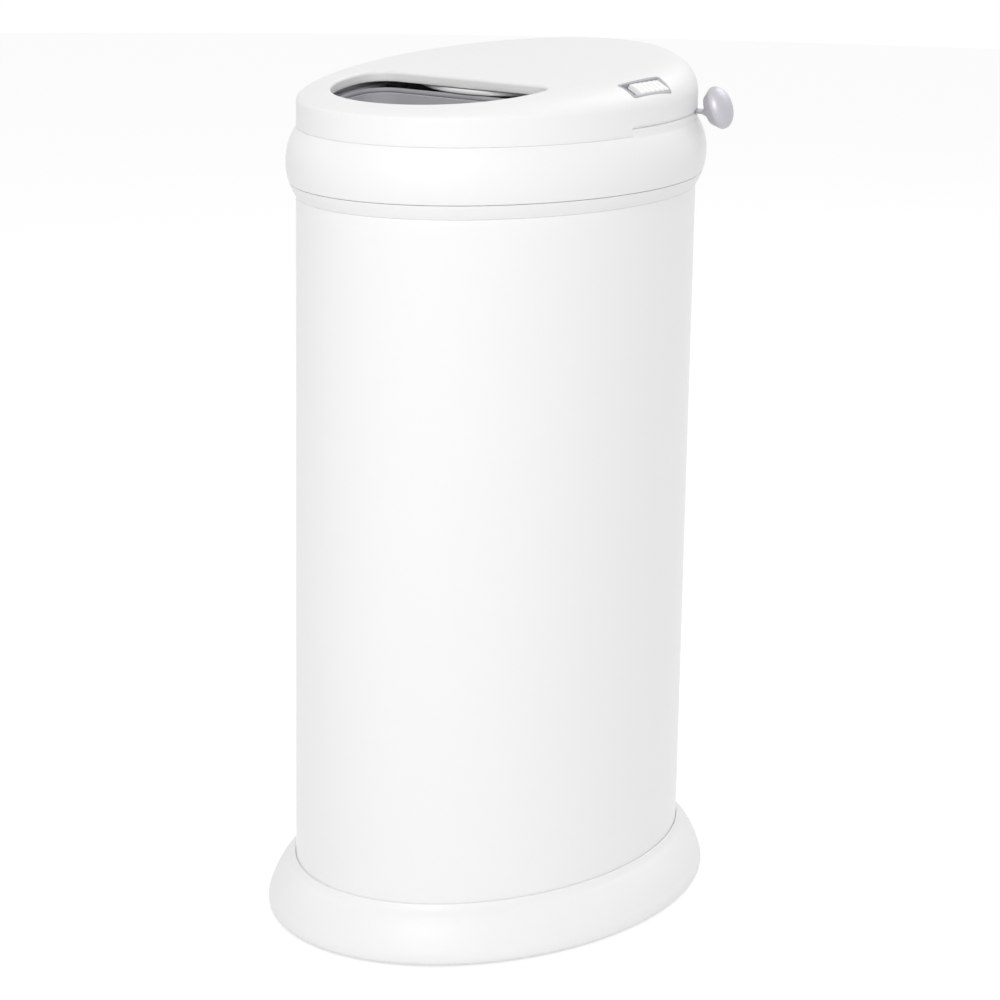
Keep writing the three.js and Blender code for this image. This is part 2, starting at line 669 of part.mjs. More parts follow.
// Fork under the door: it drives the stem and lets it slide and rise
const stemHalf = stemWidth / 2 + slideGap;
const slopeFall = doorTravel * Math.sin(slopeAngle);
const forkTop = stemHeight + stemThickness / 2 + slopeFall + slotClearance;
const forkFootHeight = stemHeight - forkFoot;
const forkScrewDepth = doorDrop + doorThickness + bossScrewDepth / 2;
add('door_fork', cut(
  box(forkInnerX, forkInnerX + forkThickness, knobRestY - stemHalf - forkProng,
    knobRestY + stemHalf + forkProng, forkFootHeight, topHeight + overrun),
  box(0, reach, knobRestY - stemHalf, knobRestY + stemHalf, 0, forkTop),
  inTop(box(-reach, reach, -reach, reach, -doorUnder - seatGap, reach)),
  forkHoles.map(inTop),
), whitePlastic);
forkScrewYs.forEach((y, i) => add(`fork_screw_${i + 1}`, join(
  upright(screwHeadRadius, forkMidX, y, -doorDrop + seatGap, -doorDrop + seatGap + screwHeadHeight),
  upright(screwRadius, forkMidX, y, -forkScrewDepth, -doorDrop + seatGap),
), brightSteel, topFrame));

// Stem: a flat blade through the slot, notched for its clip, with a tongue in the knob
const stemInnerX = forkInnerX - knobReach - clipInset - clipThickness - slotClearance;
const stemSide = (half, grow, x0, x1) => box(x0, x1, knobRestY - half - grow, knobRestY + half + grow,
  stemHeight - stemThickness / 2 - grow, stemHeight + stemThickness / 2 + grow);
const knobBackX = wallX(knobRestY) + knobStandOff;
const stemEndX = knobBackX - stemShoulderGap;
const tongueEndX = knobBackX + tongueDepth;
const clipX = stemInnerX + clipInset;
const clipHalf = stemWidth / 2 - clipNotch;
const pinBottom = stemHeight + (knobRise - knobPinLength) / 2;
const knobPin = upright(
  knobPinRadius, knobBackX + knobGripDepth, knobRestY, pinBottom, pinBottom + knobPinLength);
const knobPinHole = upright(knobPinRadius + seatGap, knobBackX + knobGripDepth, knobRestY,
  pinBottom - seatGap, pinBottom + knobPinLength + seatGap);
const notches = [-1, 1].map((side) => {
  const ends = [knobRestY + side * clipHalf, knobRestY + side * stemWidth].sort((a, b) => a - b);
  return box(clipX - seatGap, clipX + clipThickness + seatGap, ...ends, 0, topHeight);
});
add('knob_stem', cut(
  join(stemSide(stemWidth / 2, 0, stemInnerX, stemEndX),
    stemSide(tongueWidth / 2, 0, stemEndX - overrun, tongueEndX)),
  notches,
  knobPinHole,
), silver);
add('stem_clip', cut(
  stemSide(stemWidth / 2, clipRim, clipX, clipX + clipThickness),
  stemSide(clipHalf, seatGap, 0, reach),
), brightSteel);
add('knob_pin', knobPin, brightSteel);

// Knob head: a domed cap over a core and a back plate, turned back and up from the stem and raised on it
const turn = knobTurnDegrees * degree;
const lift = knobLiftDegrees * degree;
const knobAxis = new THREE.Vector3(
  Math.cos(lift) * Math.cos(turn), Math.cos(lift) * Math.sin(turn), Math.sin(lift));
const knobFrame = new THREE.Group();
knobFrame.quaternion.setFromUnitVectors(new THREE.Vector3(0, 0, 1), knobAxis);
knobFrame.position.set(knobBackX + knobGripDepth, knobRestY, stemHeight + knobRise)
  .addScaledVector(knobAxis, -knobGripDepth);
bin.add(knobFrame);
knobFrame.updateMatrixWorld(true);
const intoKnob = knobFrame.matrixWorld.clone().invert();
const tongueRoom = placed(stemSide(tongueWidth / 2, seatGap, 0, tongueEndX + seatGap), intoKnob);
const pinRoom = placed(knobPinHole, intoKnob);
const domeRun = (radius, rise, base, steps) => Array.from({ length: steps + 1 }, (_, i) => {
  const angle = i / steps * halfTurn / 2;
  return [i === steps ? 0 : radius * Math.cos(angle), base + rise * Math.sin(angle)];
});
const knobMouth = knobBackRadius - knobWall;
const knobHollow = knobRadius - knobWall;
const knobFlare = knobRadius - knobBackRadius;
add('knob_cap', turned([
  [knobMouth, 0],
  [knobBackRadius, 0],
  [knobBackRadius + knobFlare / 2, knobRim / 4],
  ...domeRun(knobRadius, knobDepth - knobRim, knobRim, 6),
  ...domeRun(knobHollow, knobDepth - knobRim - knobWall, knobRim, 4).reverse(),
  [knobMouth, knobRim / 2],
]), silver, knobFrame);
add('knob_back_plate', cut(
  turned([[0, seatGap], [knobMouth - seatGap, seatGap],
    [knobMouth - seatGap, seatGap + knobPlateThickness], [0, seatGap + knobPlateThickness]]),
  tongueRoom,
), silver, knobFrame);
const coreBottom = 2 * seatGap + knobPlateThickness;
add('knob_core', cut(
  turned([[0, coreBottom], [knobCoreRadius, coreBottom],
    [knobCoreRadius, coreBottom + knobCoreHeight], [0, coreBottom + knobCoreHeight]]),
  tongueRoom,
  pinRoom,
), innerPlastic, knobFrame);

// Lock bezel: a tray flush with the shoulder, slotted for the slider's prongs, with ears for the pawl
const trayHalfX = lockWidth / 2 - lockWall;
const trayFrontY = -lockLength / 2 + lockWall;
const trayRearY = lockLength / 2 - lockWall;
const trayBottom = -lockTrayDepth - lockWall;
const sliderRearY = trayRearY - slideGap;
const sliderFrontY = sliderRearY - lockSliderLength;
const pawlTurn = pawlTurnDegrees * degree;
const pawlTiltBack = pawlTurn / 2;
const noseY = pawlPivotOffset + pawlCrank * Math.sin(pawlTiltBack);
const noseTravel = 2 * pawlCrank * Math.sin(pawlTiltBack);
const noseHalf = pawlNoseRadius + slideGap + seatGap;
const frontProngY = noseY - noseHalf;
const rearProngY = noseY + noseHalf + lockTravel - noseTravel;
const prongHalfX = pawlThickness / 2;
const prongSlotHalfX = prongHalfX + slideGap;
const earInnerX = prongHalfX + slideGap;
const earOuterX = earInnerX + pawlEarThickness;
const pawlBore = alongX(
  pinRadius + seatGap, -lockWidth, lockWidth, pawlPivotOffset, -pawlPivotDepth, smallSides);
const lidSkin = placed(lidFill(-lockProud, creaseHeight, 6), lockMatrix.clone().invert());
add('lock_bezel', cut(
  join(
    lockBlock(lockWidth / 2, -lockLength / 2, lockLength / 2, trayBottom, overrun).intersect(lidSkin),
    [[-earOuterX, -earInnerX], [earInnerX, earOuterX]].map(([x0, x1]) => join(
      box(x0, x1, pawlPivotOffset - pawlHubRadius, pawlPivotOffset + pawlHubRadius,
        -pawlPivotDepth, -lockTrayDepth),
      alongX(pawlHubRadius, x0, x1, pawlPivotOffset, -pawlPivotDepth, smallSides))),
  ),
  lockBlock(trayHalfX, trayFrontY, trayRearY, -lockTrayDepth, overrun),
  lockBlock(prongSlotHalfX, frontProngY - lockProngWidth - lockTravel - slideGap, trayRearY, -overrun, 0),
  pawlBore,
), innerPlastic, lockFrame);

const sliderBottom = -lockTrayDepth + slideGap;
const ridgeYs = [0, 1, 2, 3, 4].map((i) => sliderFrontY + lockSliderLength * (i + 1) / 6);
add('lock_slider', join(
  lockBlock(trayHalfX - slideGap, sliderFrontY, sliderRearY, sliderBottom, sliderBottom + lockSliderHeight),
  ridgeYs.map((y) => lockBlock(trayHalfX - 2 * slideGap, y - slideGap, y + slideGap,
    sliderBottom, sliderBottom + lockSliderHeight + slideGap)),
  lockBlock(prongHalfX, frontProngY - lockProngWidth, frontProngY,
    sliderBottom - lockProngDrop, sliderBottom),
  lockBlock(prongHalfX, rearProngY, Math.min(rearProngY + lockProngWidth, sliderRearY),
    sliderBottom - lockProngDrop, sliderBottom),
), whitePlastic, lockFrame);

// Pawl: a bell crank, raised at rest, that drops behind the stem of the shut door
const capsule = (y0, z0, y1, z1, radius) => {
  const along = new THREE.Vector2(y1 - y0, z1 - z0);
  const angle = along.angle();
  const shape = new THREE.Shape([
    ...arc(y0, z0, radius, radius, angle + halfTurn / 2, angle + 3 * halfTurn / 2, cornerSteps),
    ...arc(y1, z1, radius, radius, angle - halfTurn / 2, angle + halfTurn / 2, cornerSteps),
  ]);
  const matrix = new THREE.Matrix4().makeBasis(
    new THREE.Vector3(0, 1, 0), new THREE.Vector3(0, 0, 1), new THREE.Vector3(1, 0, 0));
  return placed(raise(shape, -pawlThickness / 2, pawlThickness / 2), matrix);
};
const noseZ = -pawlPivotDepth + pawlCrank * Math.cos(pawlTiltBack);
add('lock_pawl', cut(
  join(
    capsule(pawlPivotOffset, -pawlPivotDepth, pawlPivotOffset - pawlLength, -pawlPivotDepth, pawlTipRadius),
    capsule(pawlPivotOffset, -pawlPivotDepth, noseY, noseZ, pawlNoseRadius),
    alongX(pawlHubRadius, -pawlThickness / 2, pawlThickness / 2, pawlPivotOffset, -pawlPivotDepth),
  ),
  pawlBore,
), innerPlastic, lockFrame);
add('lock_pawl_pin', alongX(pinRadius, -earOuterX - seatGap, earOuterX + seatGap,
  pawlPivotOffset, -pawlPivotDepth, smallSides), brightSteel, lockFrame);

export default bin;
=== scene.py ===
import json
import math

import bmesh
import bpy
import numpy as np
from bpy.props import FloatProperty, FloatVectorProperty, IntProperty, PointerProperty
from bpy.types import Operator, Panel, PropertyGroup
from mathutils import Matrix, Vector


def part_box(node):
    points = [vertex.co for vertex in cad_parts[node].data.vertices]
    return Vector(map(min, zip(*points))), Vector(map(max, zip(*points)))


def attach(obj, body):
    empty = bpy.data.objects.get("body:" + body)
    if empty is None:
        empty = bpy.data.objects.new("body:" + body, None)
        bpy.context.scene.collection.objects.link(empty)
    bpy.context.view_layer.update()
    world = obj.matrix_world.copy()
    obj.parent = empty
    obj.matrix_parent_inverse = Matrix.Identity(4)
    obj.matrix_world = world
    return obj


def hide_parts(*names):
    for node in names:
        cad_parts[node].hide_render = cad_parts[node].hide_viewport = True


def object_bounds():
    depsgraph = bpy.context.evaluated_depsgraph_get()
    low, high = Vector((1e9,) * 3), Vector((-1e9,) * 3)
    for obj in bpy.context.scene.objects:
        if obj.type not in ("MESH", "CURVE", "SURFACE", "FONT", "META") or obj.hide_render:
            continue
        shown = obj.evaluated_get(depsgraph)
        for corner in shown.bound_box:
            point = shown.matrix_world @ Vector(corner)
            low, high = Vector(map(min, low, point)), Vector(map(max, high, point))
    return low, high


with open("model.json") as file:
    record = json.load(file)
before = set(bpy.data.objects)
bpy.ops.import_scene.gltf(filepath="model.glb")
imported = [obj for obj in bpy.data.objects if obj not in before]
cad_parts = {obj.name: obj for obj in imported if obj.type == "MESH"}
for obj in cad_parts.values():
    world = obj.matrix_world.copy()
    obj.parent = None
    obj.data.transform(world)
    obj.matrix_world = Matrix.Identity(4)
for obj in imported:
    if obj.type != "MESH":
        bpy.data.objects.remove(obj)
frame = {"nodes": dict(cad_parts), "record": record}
CAD_BOX = [list(corner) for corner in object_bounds()]

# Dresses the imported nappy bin: smooth shells, mouldings, fastenings and finishes round its frame.
# Lengths are metres, +Z is up, -Y is the front with the mouth, and +X is the side with the knob.

bl_info = {
    "name": "Nappy bin dresser",
    "version": (1, 0, 0),
    "blender": (4, 5, 0),
    "location": "3D View > Sidebar > Nappy bin",
    "description": "Builds the visible surfaces and finishes of an oval steel nappy bin",
    "category": "Object",
}

MM = 0.001
HALF_TURN = math.pi
QUARTER_TURN = HALF_TURN / 2
FULL_TURN = 2 * HALF_TURN


def low_high(node):
    """Lowest and highest corner of a CAD node, as two arrays."""
    low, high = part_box(node)
    return np.array(low), np.array(high)


# Places that come from the frame
body_low, body_high = low_high("steel_body")
base_low, base_high = low_high("base_skirt")
collar_low, collar_high = low_high("body_collar")
hoop_low, hoop_high = low_high("bag_ring")
ring_low, ring_high = low_high("lid_ring")
cover_low = low_high("lid_cover")[0]
lid_seal_low, lid_seal_high = low_high("lid_seal")
pan_low, pan_high = low_high("inner_pan")
chute_low = low_high("throat_chute")[0]
floor_low, floor_high = low_high("floor_pan")
stem_low, stem_high = low_high("knob_stem")
clip_low, clip_high = low_high("stem_clip")
pin_low, pin_high = low_high("hinge_pin")

HALF_WIDTH = body_high[0]
HALF_DEPTH = body_high[1]
STEEL_TOP = body_high[2]
PARTING = collar_high[2]
RING_BOTTOM = ring_low[2]
SPIGOT_TOP = ring_high[2]
COVER_BOTTOM = cover_low[2]

# Gaps and walls
SEAT_GAP = 0.3 * MM
SEAM_GAP = 0.1 * MM
CREASE = COVER_BOTTOM - SEAM_GAP
COLLAR_BOTTOM = STEEL_TOP + SEAM_GAP
STEEL_WALL = 1.2 * MM
STEEL_EDGE = 0.45 * STEEL_WALL
LID_WALL = 3 * MM
PLASTIC_WALL = 2.5 * MM

# Base: shares of the flare's width and height, up its outside, and where its flat floor ends
FLARE_SHARES = [
    (0.9, 0.0), (0.985, 0.055), (1.0, 0.165), (0.9, 0.34),
    (0.71, 0.56), (0.37, 0.81), (0.16, 0.93), (0.09, 1.0)]
FLAT_END = -0.9 * HALF_WIDTH
PAN_EDGE_SHARE = 0.4

# Collar with the ledge of the bag ring, and the spigot of the lid's ring
COLLAR_REACH = 10 * MM
LEDGE_DROP = 11 * MM
LEDGE_WIDTH = 6 * MM
PLUG_WALL = 3 * MM
SPIGOT_WALL = 2 * MM
SPIGOT_ROOT = 3.4 * MM

# The top slopes up towards the rear; its plane passes through the top height over the origin
WALL_TOP = 553.7 * MM
TOP_HEIGHT = 570.5 * MM
TOP_RISE = TOP_HEIGHT - WALL_TOP

# Mouth outline and what hangs below it, measured in the plane of the top
MOUTH_HALF_WIDTH = 73 * MM
MOUTH_FRONT = -140 * MM
MOUTH_SIDE = -62 * MM
MOUTH_REAR = -42 * MM
MOUTH_CORNER = 18 * MM
MOUTH_CORNER_SPREAD = 1 * MM
MOUTH_MIDDLE = np.array([0.0, (MOUTH_FRONT + MOUTH_REAR) / 2])
LIP_DEPTH = 7.2 * MM
LIP_WIDTH = 2.5 * MM
LIP_BREAK_SHARE = 0.7
CHUTE_WALL = 2.5 * MM
CHUTE_FLANGE = 6 * MM
GASKET_TOP = -11.5 * MM
GASKET_BOTTOM = -14.2 * MM
GASKET_LEAN = 0.4 * MM
GASKET_EDGE = 0.5 * MM
GASKET_WAIST_EDGE = 0.6 * MM
GASKET_TOP_EDGE = 0.7 * MM
LID_SEAL_WIDTH = 3.5 * MM
LID_SEAL_LOW_EDGE = 1.2 * MM
LID_SEAL_TOP_EDGE = 0.3 * MM

# Sliding door
DOOR_TOP = -8 * MM
DOOR_BOTTOM = -11 * MM
DOOR_OVERLAP = 7 * MM
DOOR_REAR = 5 * MM
DOOR_CORNER = 25 * MM
DOOR_TRAVEL = 104 * MM
DOOR_EDGE = 1 * MM

# Slot that the stem of the knob runs in, and its soft lips
STEM_HEIGHT = (stem_low[2] + stem_high[2]) / 2
STEM_Y = (stem_low[1] + stem_high[1]) / 2
SLOT_CLEARANCE = 0.4 * MM
SLOT_TOP = stem_high[2] + SLOT_CLEARANCE
SLOT_BOTTOM = stem_low[2] - SLOT_CLEARANCE
SLOT_REAR = stem_high[1] + SLOT_CLEARANCE
SLOT_CORNER = 1.2 * MM
SLIT = 0.12 * MM
SLIT_EDGE = 0.2 * MM
SOFT_LIP_ROOTS = -0.5 * MM, -2.4 * MM
SOFT_LIP_TIPS = -1.0 * MM, -1.6 * MM

# Knob head: a dome on a line that is turned back and up from the stem
KNOB_RADIUS = 14.5 * MM
KNOB_BACK_RADIUS = 9.6 * MM
KNOB_WALL = 2.6 * MM
KNOB_DEPTH = 16 * MM
KNOB_RIM = 7.4 * MM
KNOB_STAND_OFF = 9.6 * MM
KNOB_RISE = 3 * MM
KNOB_LIP = 1.6 * MM
KNOB_FLARE = KNOB_RADIUS - KNOB_BACK_RADIUS
KNOB_GRIP = 5.8 * MM
KNOB_TURN = math.radians(15)
KNOB_LIFT = math.radians(20)
KNOB_PLATE = 2.2 * MM
KNOB_PLATE_EDGE = 0.5 * MM
KNOB_MOUTH_EDGE = 0.4 * MM
KNOB_BACK_EDGE = 0.8 * MM
KNOB_LIP_EDGE = 2 * MM

# Stem: a flat bar, notched for its clip, with a neck that swells into the knob
STEM_END_SHARE = 0.97
STEM_END_EDGE = 0.3 * MM
STEM_NOTCH_HALF = 5 * MM
STEM_POWER = 0.25
NECK_LENGTH = 2.6 * MM
NECK_RADIUS = 6.6 * MM
NECK_POWER = 1.5
NECK_ROWS = 10

# Screws: head, cross recess, thread and tip
SCREW_RADIUS = 1.5 * MM
SCREW_HEAD_RADIUS = 3.5 * MM
SCREW_HEAD_HEIGHT = 2 * MM
SCREW_HEAD_SIDE = 0.9 * MM
SCREW_HEAD_EDGE = 0.2 * MM
SCREW_DOME = 0.55 * MM
SCREW_HEAD_SHARES = 0.02, 0.93
RECESS_HALF_WIDTH = 0.45 * MM
RECESS_REACH = 2.2 * MM
RECESS_DEPTH = 1.1 * MM
RECESS_SIDE_SLOPE = 0.22 * MM
RECESS_END_SLOPE = 0.4 * MM
THREAD_PITCH = 1.1 * MM
THREAD_DEPTH = 0.28 * MM
THREAD_START = 0.5 * MM
THREAD_END = 1.6 * MM
SCREW_TIP_LENGTH = 1.5 * MM
SCREW_TIP_SHARES = 0.8, 0.15
FORK_SCREW_LENGTH = 10.05 * MM

# Feet: a pad with grooves below, and a plug
FOOT_CHAMFER = 1.5 * MM
FOOT_PLUG_RADIUS = 4 * MM
FOOT_GROOVE_DEPTH = 0.4 * MM
FOOT_GROOVE_SPREAD = 0.5 * MM
FOOT_GROOVE_START = 2.5 * MM
FOOT_GROOVE_MARGIN = 1.2 * MM
FOOT_FLAT_MARGIN = 0.6 * MM
FOOT_EDGE = 0.8 * MM
FOOT_SIDE_EDGE = 1 * MM
FOOT_SHOULDER_EDGE = 0.7 * MM
FOOT_ROOT_EDGE = 0.3 * MM
FOOT_PLUG_EDGE = 0.6 * MM

# Child lock on the right shoulder: a tray and a ridged slider
LOCK_Y = 9 * MM
LOCK_INSET = 8.8 * MM
LOCK_HALF_LENGTH = 47 * MM / 2
LOCK_HALF_WIDTH = 15 * MM / 2
LOCK_WALL = 1.5 * MM
LOCK_DEPTH = 5 * MM
LOCK_PROUD = 0.4 * MM
LOCK_CORNER = 2.4 * MM
LOCK_RIM_EDGE = 0.35 * MM
LOCK_FLOOR_EDGE = 0.3 * MM
LOCK_CUT_REACH = 20 * MM
LOCK_SLIDE_GAP = 0.4 * MM
LOCK_SLIDER_LENGTH = 33 * MM
LOCK_SLIDER_HEIGHT = 3.6 * MM
LOCK_SLIDER_EDGE = 0.8 * MM
LOCK_SLIDER_SIDE = 1.2 * MM
LOCK_RIDGES = 5
LOCK_RIDGE_HALF = 1.1 * MM
LOCK_RIDGE_HEIGHT = 0.5 * MM

# Rounded edges of the hinge and of the small inner parts, in metres
HINGE_EDGE = 0.7 * MM
PIN_EDGE = 0.6 * MM
INNER_PART_EDGES = {
    "keeper_plate": 0.3 * MM, "lid_magnet": 0.4 * MM, "door_rail_right": 0.3 * MM,
    "door_rail_left": 0.3 * MM, "door_fork": 0.4 * MM, "stem_clip": 0.15 * MM, "knob_core": 0.4 * MM,
    "knob_pin": 0.2 * MM, "lock_pawl": 0.25 * MM, "lock_pawl_pin": 0.2 * MM,
}

# How finely the surfaces are cut
OVAL_COLUMNS = 320
LID_COLUMNS = 480
MOUTH_COLUMNS = 320
ROUND_COLUMNS = 64
SCREW_COLUMNS = 40
FLARE_ROWS = 40
HOLLOW_ROWS = 14
BULGE_ROWS = 34
BULGE_INNER_ROWS = 14
ROOF_ROWS = 72
ROOF_INNER_ROWS = 20
BROW_ROWS = 8
WALL_ROWS = 8
WALL_INNER_SHARES = 0.35, 0.7
DOME_ROWS = 27
SCREW_HEAD_ROWS = 18
THREAD_ROWS = 6
FOOT_ROWS = 46
SOFT_LIP_ROWS = 90
LOCK_SLIDER_ROWS = 133
LOCK_SLIDER_COLUMNS = 17
WALL_STEP = 12 * MM
TIP_RADIUS = 0.1 * MM
EPSILON = 0.02 * MM

# How often places are looked up, halved or stepped to
MOUTH_LOOKUPS = 4000
SHOULDER_HALVINGS = 45
SKIN_STEPS = 40

# Share of its radius at which the middle of a rounded edge of two steps lies
BEND_SHARE = 0.3

LENGTH = {"unit": "LENGTH", "subtype": "DISTANCE"}
ANGLE = {"unit": "ROTATION", "subtype": "ANGLE"}
COLOUR = {"size": 3, "min": 0, "max": 1, "subtype": "COLOR"}


class NappyBinSizes(PropertyGroup):
    """Shapes of the mouldings that a user may change within the frame."""

    top_slope: FloatProperty(
        name="Top slope", description="Rise of the lid's top for each metre towards the rear",
        default=0.07, min=0.0, max=0.2)
    shoulder: FloatProperty(
        name="Shoulder width", description="How far the rounded shoulder of the lid reaches inwards",
        default=28 * MM, min=10 * MM, max=40 * MM, **LENGTH)
    bulge: FloatProperty(
        name="Bulge", description="How far the ring of the lid stands out from the body",
        default=6.9 * MM, min=1 * MM, max=12 * MM, **LENGTH)
    mouth_round: FloatProperty(
        name="Mouth rounding", description="Radius of the edge where the top turns down into the mouth",
        default=2.4 * MM, min=0.5 * MM, max=4 * MM, **LENGTH)
    edge: FloatProperty(
        name="Moulded edge", description="Radius of the outer edges of the plastic mouldings",
        default=0.6 * MM, min=0.1 * MM, max=1.2 * MM, **LENGTH)
    seam_edge: FloatProperty(
        name="Seam edge", description="Radius of the edges on both sides of the lid's seams",
        default=0.3 * MM, min=0.1 * MM, max=1.2 * MM, **LENGTH)


class NappyBinFinishes(PropertyGroup):
    """Colours of the finishes."""

    powder_coat: FloatVectorProperty(
        name="Powder coat", description="White of the coated steel body", default=(0.925, 0.925, 0.922),
        **COLOUR)
    moulding: FloatVectorProperty(
        name="Moulded white", description="White of the outer plastic mouldings",
        default=(0.92, 0.92, 0.915), **COLOUR)
    # A grey moulding colour, kept dark partly as painted shade inside the mouth and in the lock's recess.
    inner_moulding: FloatVectorProperty(
        name="Inner grey", description="Light grey of the inner plastic mouldings",
        default=(0.5, 0.5, 0.53), **COLOUR)
    silver: FloatVectorProperty(
        name="Silver", description="Satin silver of the knob", default=(0.58, 0.57, 0.61), **COLOUR)
    zinc: FloatVectorProperty(
        name="Zinc", description="Bright zinc plate of the screws and plates", default=(0.5, 0.5, 0.52),
        **COLOUR)
    seal: FloatVectorProperty(
        name="Seal", description="Light grey of the soft seals", default=(0.42, 0.42, 0.44), **COLOUR)
    rubber: FloatVectorProperty(
        name="Rubber", description="Grey of the feet", default=(0.2, 0.205, 0.22), **COLOUR)


class NappyBinStudio(PropertyGroup):
    """Camera and light round the bin."""

    azimuth: FloatProperty(
        name="Camera azimuth", description="Angle of the camera to the right of the front",
        default=math.radians(35.0), **ANGLE)
    yaw: FloatProperty(
        name="Camera yaw", description="How far the camera looks to the side of the middle line",
        default=math.radians(-0.10), **ANGLE)
    pitch: FloatProperty(
        name="Camera pitch", description="How far the camera looks down", default=math.radians(14.24),
        **ANGLE)
    roll: FloatProperty(
        name="Camera roll", description="How far the camera leans", default=math.radians(0.94), **ANGLE)
    distance: FloatProperty(
        name="Camera distance", description="Distance of the camera from the middle line, over the floor",
        default=2.0385, min=0.5, max=10.0, **LENGTH)
    height: FloatProperty(
        name="Camera height", description="Height of the camera over the floor", default=0.7926,
        min=0.0, max=5.0, **LENGTH)
    focal: FloatProperty(
        name="Focal length", description="Focal length of the lens in millimetres on a 36 mm sensor",
        default=110.4, min=20.0, max=300.0)
    lamp_strength: FloatProperty(
        name="Lamps", description="Factor on the power of all the lamps", default=1.0, min=0.0, max=5.0)
    sky_strength: FloatProperty(
        name="Sky", description="Strength of the plain light from all round", default=0.6, min=0.0,
        max=3.0)
    floor: FloatVectorProperty(
        name="Floor", description="Colour of the floor", default=(0.9, 0.9, 0.9), **COLOUR)
    floor_columns: IntProperty(
        name="Floor columns", description="Number of sides of the round floor", default=96, min=12,
        max=360)


# Meshes

def grid_quads(rows, columns, close_rows):
    """Quads between neighbouring points of a grid numbered row by row. Its columns run round and meet;
    its last row meets the first where close_rows is true."""
    row, column = np.meshgrid(np.arange(rows if close_rows else rows - 1), np.arange(columns), indexing="ij")
    next_row = (row + 1) % rows
    next_column = (column + 1) % columns
    corners = [row * columns + column, row * columns + next_column,
               next_row * columns + next_column, next_row * columns + column]
    return np.stack(corners, axis=-1).reshape(-1, 4)


def signed_volume(points, quads, others):
    """Volume inside the faces, negative where they point inwards: the sum of the corner products of fans."""
    total = 0.0
    for faces in (quads, *[other[None] for other in others]):
        first = points[faces[:, 0]]
        for i in range(1, faces.shape[1] - 1):
            total += np.einsum("ij,ij->", first, np.cross(points[faces[:, i]], points[faces[:, i + 1]]))
    return total / 6


def write_mesh(name, points, quads, others=()):
    """Object of the points, the quads and the other faces, turned outwards, smooth up to a sharp angle."""
    points = np.asarray(points, float).reshape(-1, 3)
    others = [np.asarray(face) for face in others]
    if signed_volume(points, quads, others) < 0:
        quads = quads[:, ::-1]
        others = [face[::-1] for face in others]
    mesh = bpy.data.meshes.new(name)
    corners = np.concatenate([quads.ravel(), *others]).astype(np.int32)
    sizes = np.concatenate([np.full(len(quads), 4), [len(face) for face in others]]).astype(np.int32)
    mesh.vertices.add(len(points))
    mesh.vertices.foreach_set("co", points.astype(np.float32).ravel())
    mesh.loops.add(len(corners))
    mesh.loops.foreach_set("vertex_index", corners)
    mesh.polygons.add(len(sizes))
    mesh.polygons.foreach_set("loop_start", (np.cumsum(sizes) - sizes).astype(np.int32))
    mesh.update(calc_edges=True)
    if mesh.validate():
        raise RuntimeError(f"the mesh of {name} has broken faces")
    piece = bpy.data.objects.new(name, mesh)
    bpy.context.scene.collection.objects.link(piece)
    soften(piece)
    return piece


def soften(piece, angle=math.radians(32)):
    """Shades a piece smooth, with sharp edges where its faces meet at more than the angle."""
    piece.data.polygons.foreach_set("use_smooth", np.ones(len(piece.data.polygons), bool))
    piece.data.set_sharp_from_angle(angle=angle)


def ring_piece(name, rows):
    """Closed ring from rows of points that run round it: the last row meets the first."""
    rows = np.asarray(rows, float)
    return write_mesh(name, rows, grid_quads(rows.shape[0], rows.shape[1], True))


def capped_piece(name, rows):
    """Closed body from rows of points that run round it, with a flat face over the first and last row."""
    rows = np.asarray(rows, float)
    count, columns = rows.shape[:2]
    ends = [np.arange(columns)[::-1], (count - 1) * columns + np.arange(columns)]
    return write_mesh(name, rows, grid_quads(count, columns, False), ends)


def dress(piece, body, slot, material, *nodes):
    """Gives a piece its finish and the CAD body that it rides on, and hides the CAD nodes that it stands for.
    """
    piece.data.materials.clear()
    piece.data.materials.append(material)
    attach(piece, body)
    if nodes:
        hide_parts(*nodes)
    return piece


# Outlines and profiles

def rounded(outline, steps=4):
    """Closed outline from corners (x, y) or (x, y, radius). Each corner with a radius becomes a curve that
    leaves one side and meets the next at the tangent length of that radius, or less where a side is
    short."""
    sharpest = 0.01
    side_share = 0.47
    spots = np.array([corner[:2] for corner in outline], float)
    radii = np.array([corner[2] if len(corner) > 2 else 0.0 for corner in outline])
    back = np.roll(spots, 1, axis=0) - spots
    onward = np.roll(spots, -1, axis=0) - spots
    back_length = np.linalg.norm(back, axis=1)
    onward_length = np.linalg.norm(onward, axis=1)
    back /= back_length[:, None]
    onward /= onward_length[:, None]
    half_angle = np.arccos(np.clip((back * onward).sum(axis=1), -1, 1)) / 2
    longest = side_share * np.minimum(back_length, onward_length)
    tangent = np.minimum(radii / np.tan(np.maximum(half_angle, sharpest)), longest)
    share = np.linspace(0, 1, steps + 1)[:, None]
    runs = []
    for i, spot in enumerate(spots):
        if radii[i] == 0:
            runs.append(spot[None])
        else:
            runs.append(spot + tangent[i] * (back[i] * (1 - share) ** 2 + onward[i] * share ** 2))
    return np.concatenate(runs)


def oval(out, turns):
    """Point of the body's oval, let out by a distance: ((A + out) cos t, (B + out) sin t)."""
    return (HALF_WIDTH + out) * np.cos(turns), (HALF_DEPTH + out) * np.sin(turns)


def oval_points(out, turns, height):
    """Points round the oval, let out by a distance, at a height."""
    return np.stack(np.broadcast_arrays(*oval(out, turns), height), axis=-1)


def oval_rows(profile, turns):
    """Rows of points round the oval, one for each (distance out, height) of a profile."""
    return oval_points(profile[:, 0:1], turns, profile[:, 1:2])


def even_turns(count=OVAL_COLUMNS):
    return np.linspace(-HALF_TURN, HALF_TURN, count, endpoint=False)


def mouth_shares():
    return np.linspace(0, 1, MOUTH_COLUMNS, endpoint=False)


